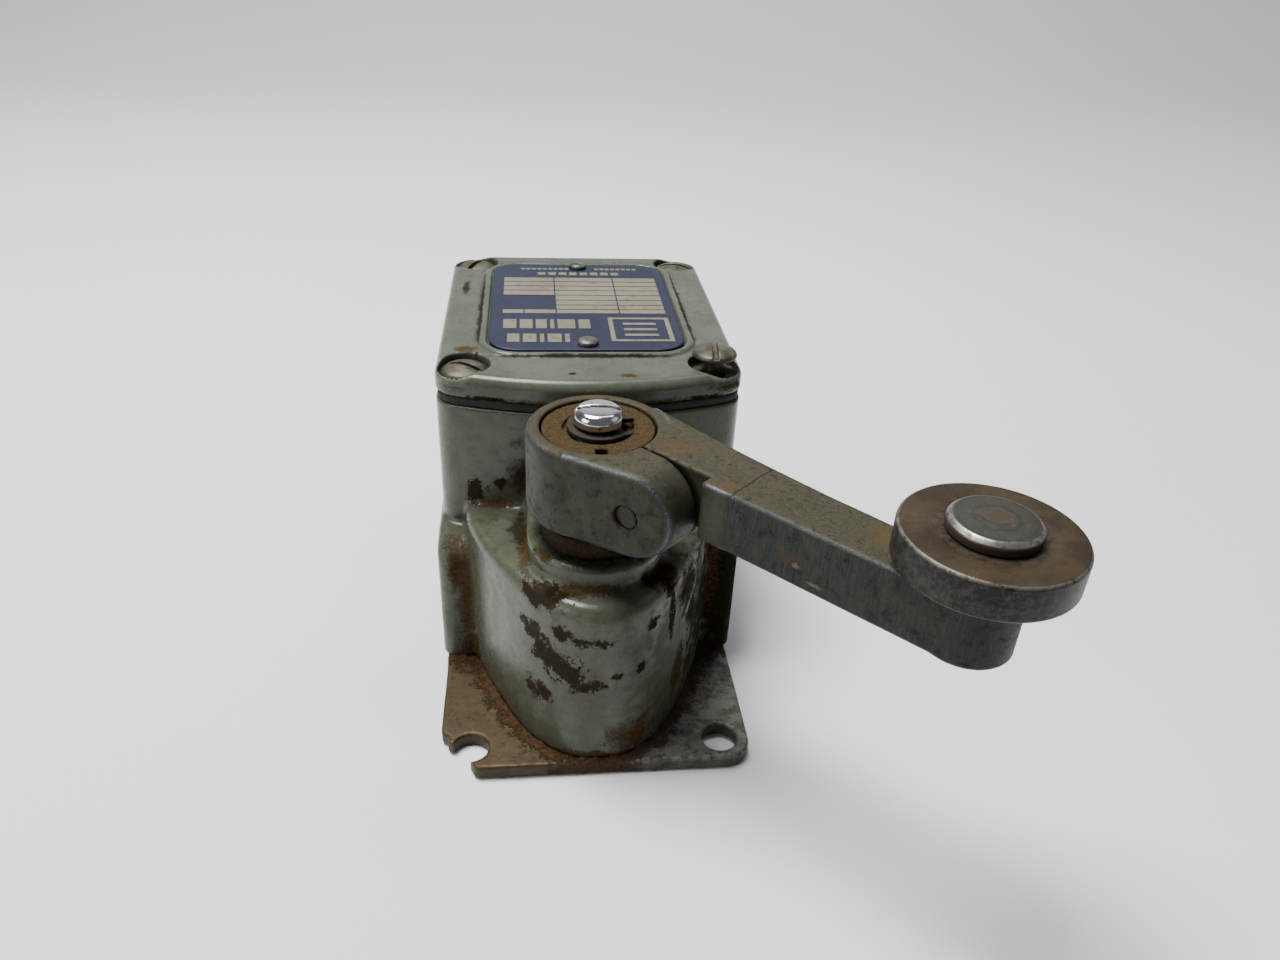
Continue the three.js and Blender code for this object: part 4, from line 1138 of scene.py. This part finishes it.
clamp = cast_piece("clamp_screw_dark", "clamp_screw", clamp_field, (0.5, 0.22), 0.4)
clamp_black = steel_material("clamp_black", rgb(22, 15, 11), rgb(10, 7, 5), rust=0.4, rough=0.5,
                             metallic=0.2, scale=1.5, grain=0.05)
place(clamp, clamp_black, LEVER, "shaft_steel", "clamp_screw")

# ---------------------------------------------------------------- roller, pin and seal ring
z0, z1 = ROLLER_LO[2], ROLLER_TOP
wheel = turned_piece("roller_wheel", fillet([
    (4.4, (z0 + z1) / 2), (4.4, z0), (7.6, z0), (7.6, z0 + 0.25), (ROLLER_R - 0.45, z0 + 0.25),
    (ROLLER_R, z0 + 0.7), (ROLLER_R, z1 - 0.45), (ROLLER_R - 0.4, z1), (9.5, z1 - 0.05),
    (8.2, z1 - 0.2), (4.4, z1 - 0.2), (4.4, (z0 + z1) / 2)], 0.3, 4), ROLLER_XY, 160)
turn_faces_out(wheel.data, merge=1e-7)
place(wheel, roller_material(), "roller", "roller_steel", "roller")

pin = turned_piece("roller_pin_turned", fillet([
    (0, PIN_LO[2]), (4.6, PIN_LO[2]), (5.0, 55.4), (5.0, 56.0), (4.0, 56.0), (4.0, ROLLER_TOP + 0.05),
    (6.93, ROLLER_TOP + 0.05), (6.93, PIN_HI[2] - 0.85), (6.15, PIN_HI[2] - 0.1), (3.0, PIN_HI[2] - 0.03),
    (0, PIN_HI[2])], 0.22, 4), ROLLER_XY, 128)
place(pin, pin_material(), LEVER, "pin_steel", "roller_pin")


def worn_ring(points):
    a = np.arctan2(points[:, 1], points[:, 0])
    wave = 1 + 0.012 * np.sin(5 * a) + 0.008 * np.sin(11 * a + 1.3)
    points[:, :2] *= wave[:, None]
    return points


seal_ring = turned_piece("seal_ring_rusty", fillet([
    (5.3, RING_LO[2]), (10.7, RING_LO[2]), (10.7, 48.5), (9.6, 49.3), (9.5, RING_HI[2]),
    (5.3, RING_HI[2]), (5.3, RING_LO[2])], 0.5, 5), (0, 0), 96, worn_ring)
place(seal_ring, rust_material("ring_grime", rgb(34, 19, 7), rgb(5, 4, 2), 0.2),
      BODY, "rusty_steel", "seal_retainer")

# ---------------------------------------------------------------- pieces kept from the CAD model
TERMINALS = [name for name in NODES if name.startswith("terminal_")]
INSIDE = [
    (plain_material("sintered_bronze", rgb(360, 230, 100), 0.8, 0.5),
     ["upper_bush", "lower_bush", "plunger_guide"]),
    (steel_material("inner_steel", rgb(280, 270, 260), rgb(150, 140, 130), rust=0.3, rough=0.4),
     ["shaft", "drive_cam", "plunger", "roller_washer", "plate_screw_near", "plate_screw_far",
      "block_screw_near", "block_screw_far"]),
    (plain_material("spring_wire", rgb(200, 200, 210), 0.9, 0.35),
     ["return_spring", "contact_spring_front", "contact_spring_rear"]),
    (rubber_material("seal_rubber"), ["shaft_seal"]),
    (plain_material("block_moulding", rgb(30, 24, 21), 0.0, 0.55), ["contact_block", "contact_carrier"]),
    (plain_material("terminal_brass", rgb(520, 380, 140), 0.9, 0.35), TERMINALS),
    (plain_material("bridge_copper", rgb(480, 260, 150), 0.9, 0.35),
     ["contact_bridge_front", "contact_bridge_rear"]),
    (plain_material("earth_green", rgb(50, 170, 70), 0.5, 0.45), ["ground_screw"]),
]
for material, names in INSIDE:
    for name in names:
        dress(NODES[name], material)
        soft_bevel(NODES[name], 0.15, 2)


# ---------------------------------------------------------------- floor, lights and camera
def floor_material():
    s = Shader("paper_sweep", specular=0.2)
    soft = s.noise(0.004, 2)
    s.color = s.mix(soft, rgb(660, 665, 680), rgb(720, 722, 730))
    return s.finish(0.85, None, s.mul(s.noise(0.8, 2), 0.01))


# A paper sweep, in metres: flat under the part, then curving up into a back wall.
SWEEP_START, SWEEP_RADIUS, WALL_TOP, SWEEP_HALF, SWEEP_NEAR = 0.75, 0.9, 3.2, 5.0, -3.0
FLOOR_BELOW = -0.0002
path = [(SWEEP_NEAR, 0.0), (SWEEP_START, 0.0)]
path += [(SWEEP_START + SWEEP_RADIUS * math.sin(t), SWEEP_RADIUS * (1 - math.cos(t)))
         for t in np.linspace(0.04, math.pi / 2, 40)]
path.append((SWEEP_START + SWEEP_RADIUS, WALL_TOP))
floor_mesh = bpy.data.meshes.new("studio_floor")
floor_mesh.from_pydata(
    [(side * SWEEP_HALF, y, z) for y, z in path for side in (-1, 1)], [],
    [(2 * i, 2 * i + 1, 2 * i + 3, 2 * i + 2) for i in range(len(path) - 1)])
floor_mesh.shade_smooth()
floor = new_object("studio_floor", floor_mesh)
floor.location.z = FLOOR_BELOW
dress(floor, floor_material())


def soft_light(name, where, target, size, power, color=(1, 1, 1)):
    data = bpy.data.lights.new(name, "AREA")
    data.shape = "RECTANGLE"
    data.size, data.size_y = size
    data.energy = power
    data.color = color
    lamp = new_object(name, data)
    lamp.location = where
    lamp.rotation_euler = (Vector(target) - Vector(where)).to_track_quat("-Z", "Y").to_euler()


# Places and sizes of the lights are in metres, powers in watts.
CENTRE = (0.0, 0.03, 0.04)
soft_light("key_overhead", (-0.20, 0.12, 0.80), CENTRE, (0.36, 0.36), 16.0, (1.0, 0.99, 0.965))
soft_light("fill_left", (-0.80, -0.30, 0.42), CENTRE, (0.4, 0.4), 3.0, (0.97, 0.985, 1.0))
soft_light("fill_right", (0.85, -0.10, 0.50), CENTRE, (0.5, 0.5), 0.4, (0.97, 0.98, 1.0))
soft_light("wall_wash", (0.2, 0.55, 1.5), (0.2, 1.6, 0.5), (1.4, 0.6), 16.0, (0.98, 0.99, 1.0))

world = bpy.data.worlds.new("studio_world")
world.use_nodes = True
background = world.node_tree.nodes["Background"]
background.inputs["Color"].default_value = (0.88, 0.90, 0.94, 1.0)
background.inputs["Strength"].default_value = 0.15
bpy.context.scene.world = world

camera_data = bpy.data.cameras.new("view_camera")
camera_data.sensor_width = 36.0
camera_data.lens = 27.32
camera_data.clip_start = 0.01
camera = new_object("view_camera", camera_data)
CAMERA_AT = (-12.08, -158.41, 150.74)
YAW, PITCH, ROLL = (math.radians(a) for a in (7.305, 30.732, 2.948))
camera.matrix_world = (
    Matrix.Translation(Vector(CAMERA_AT) * MM)
    @ Matrix.Rotation(-YAW, 4, "Z")
    @ Matrix.Rotation(math.pi / 2 - PITCH, 4, "X")
    @ Matrix.Rotation(ROLL, 4, "Z"))
bpy.context.scene.camera = camera
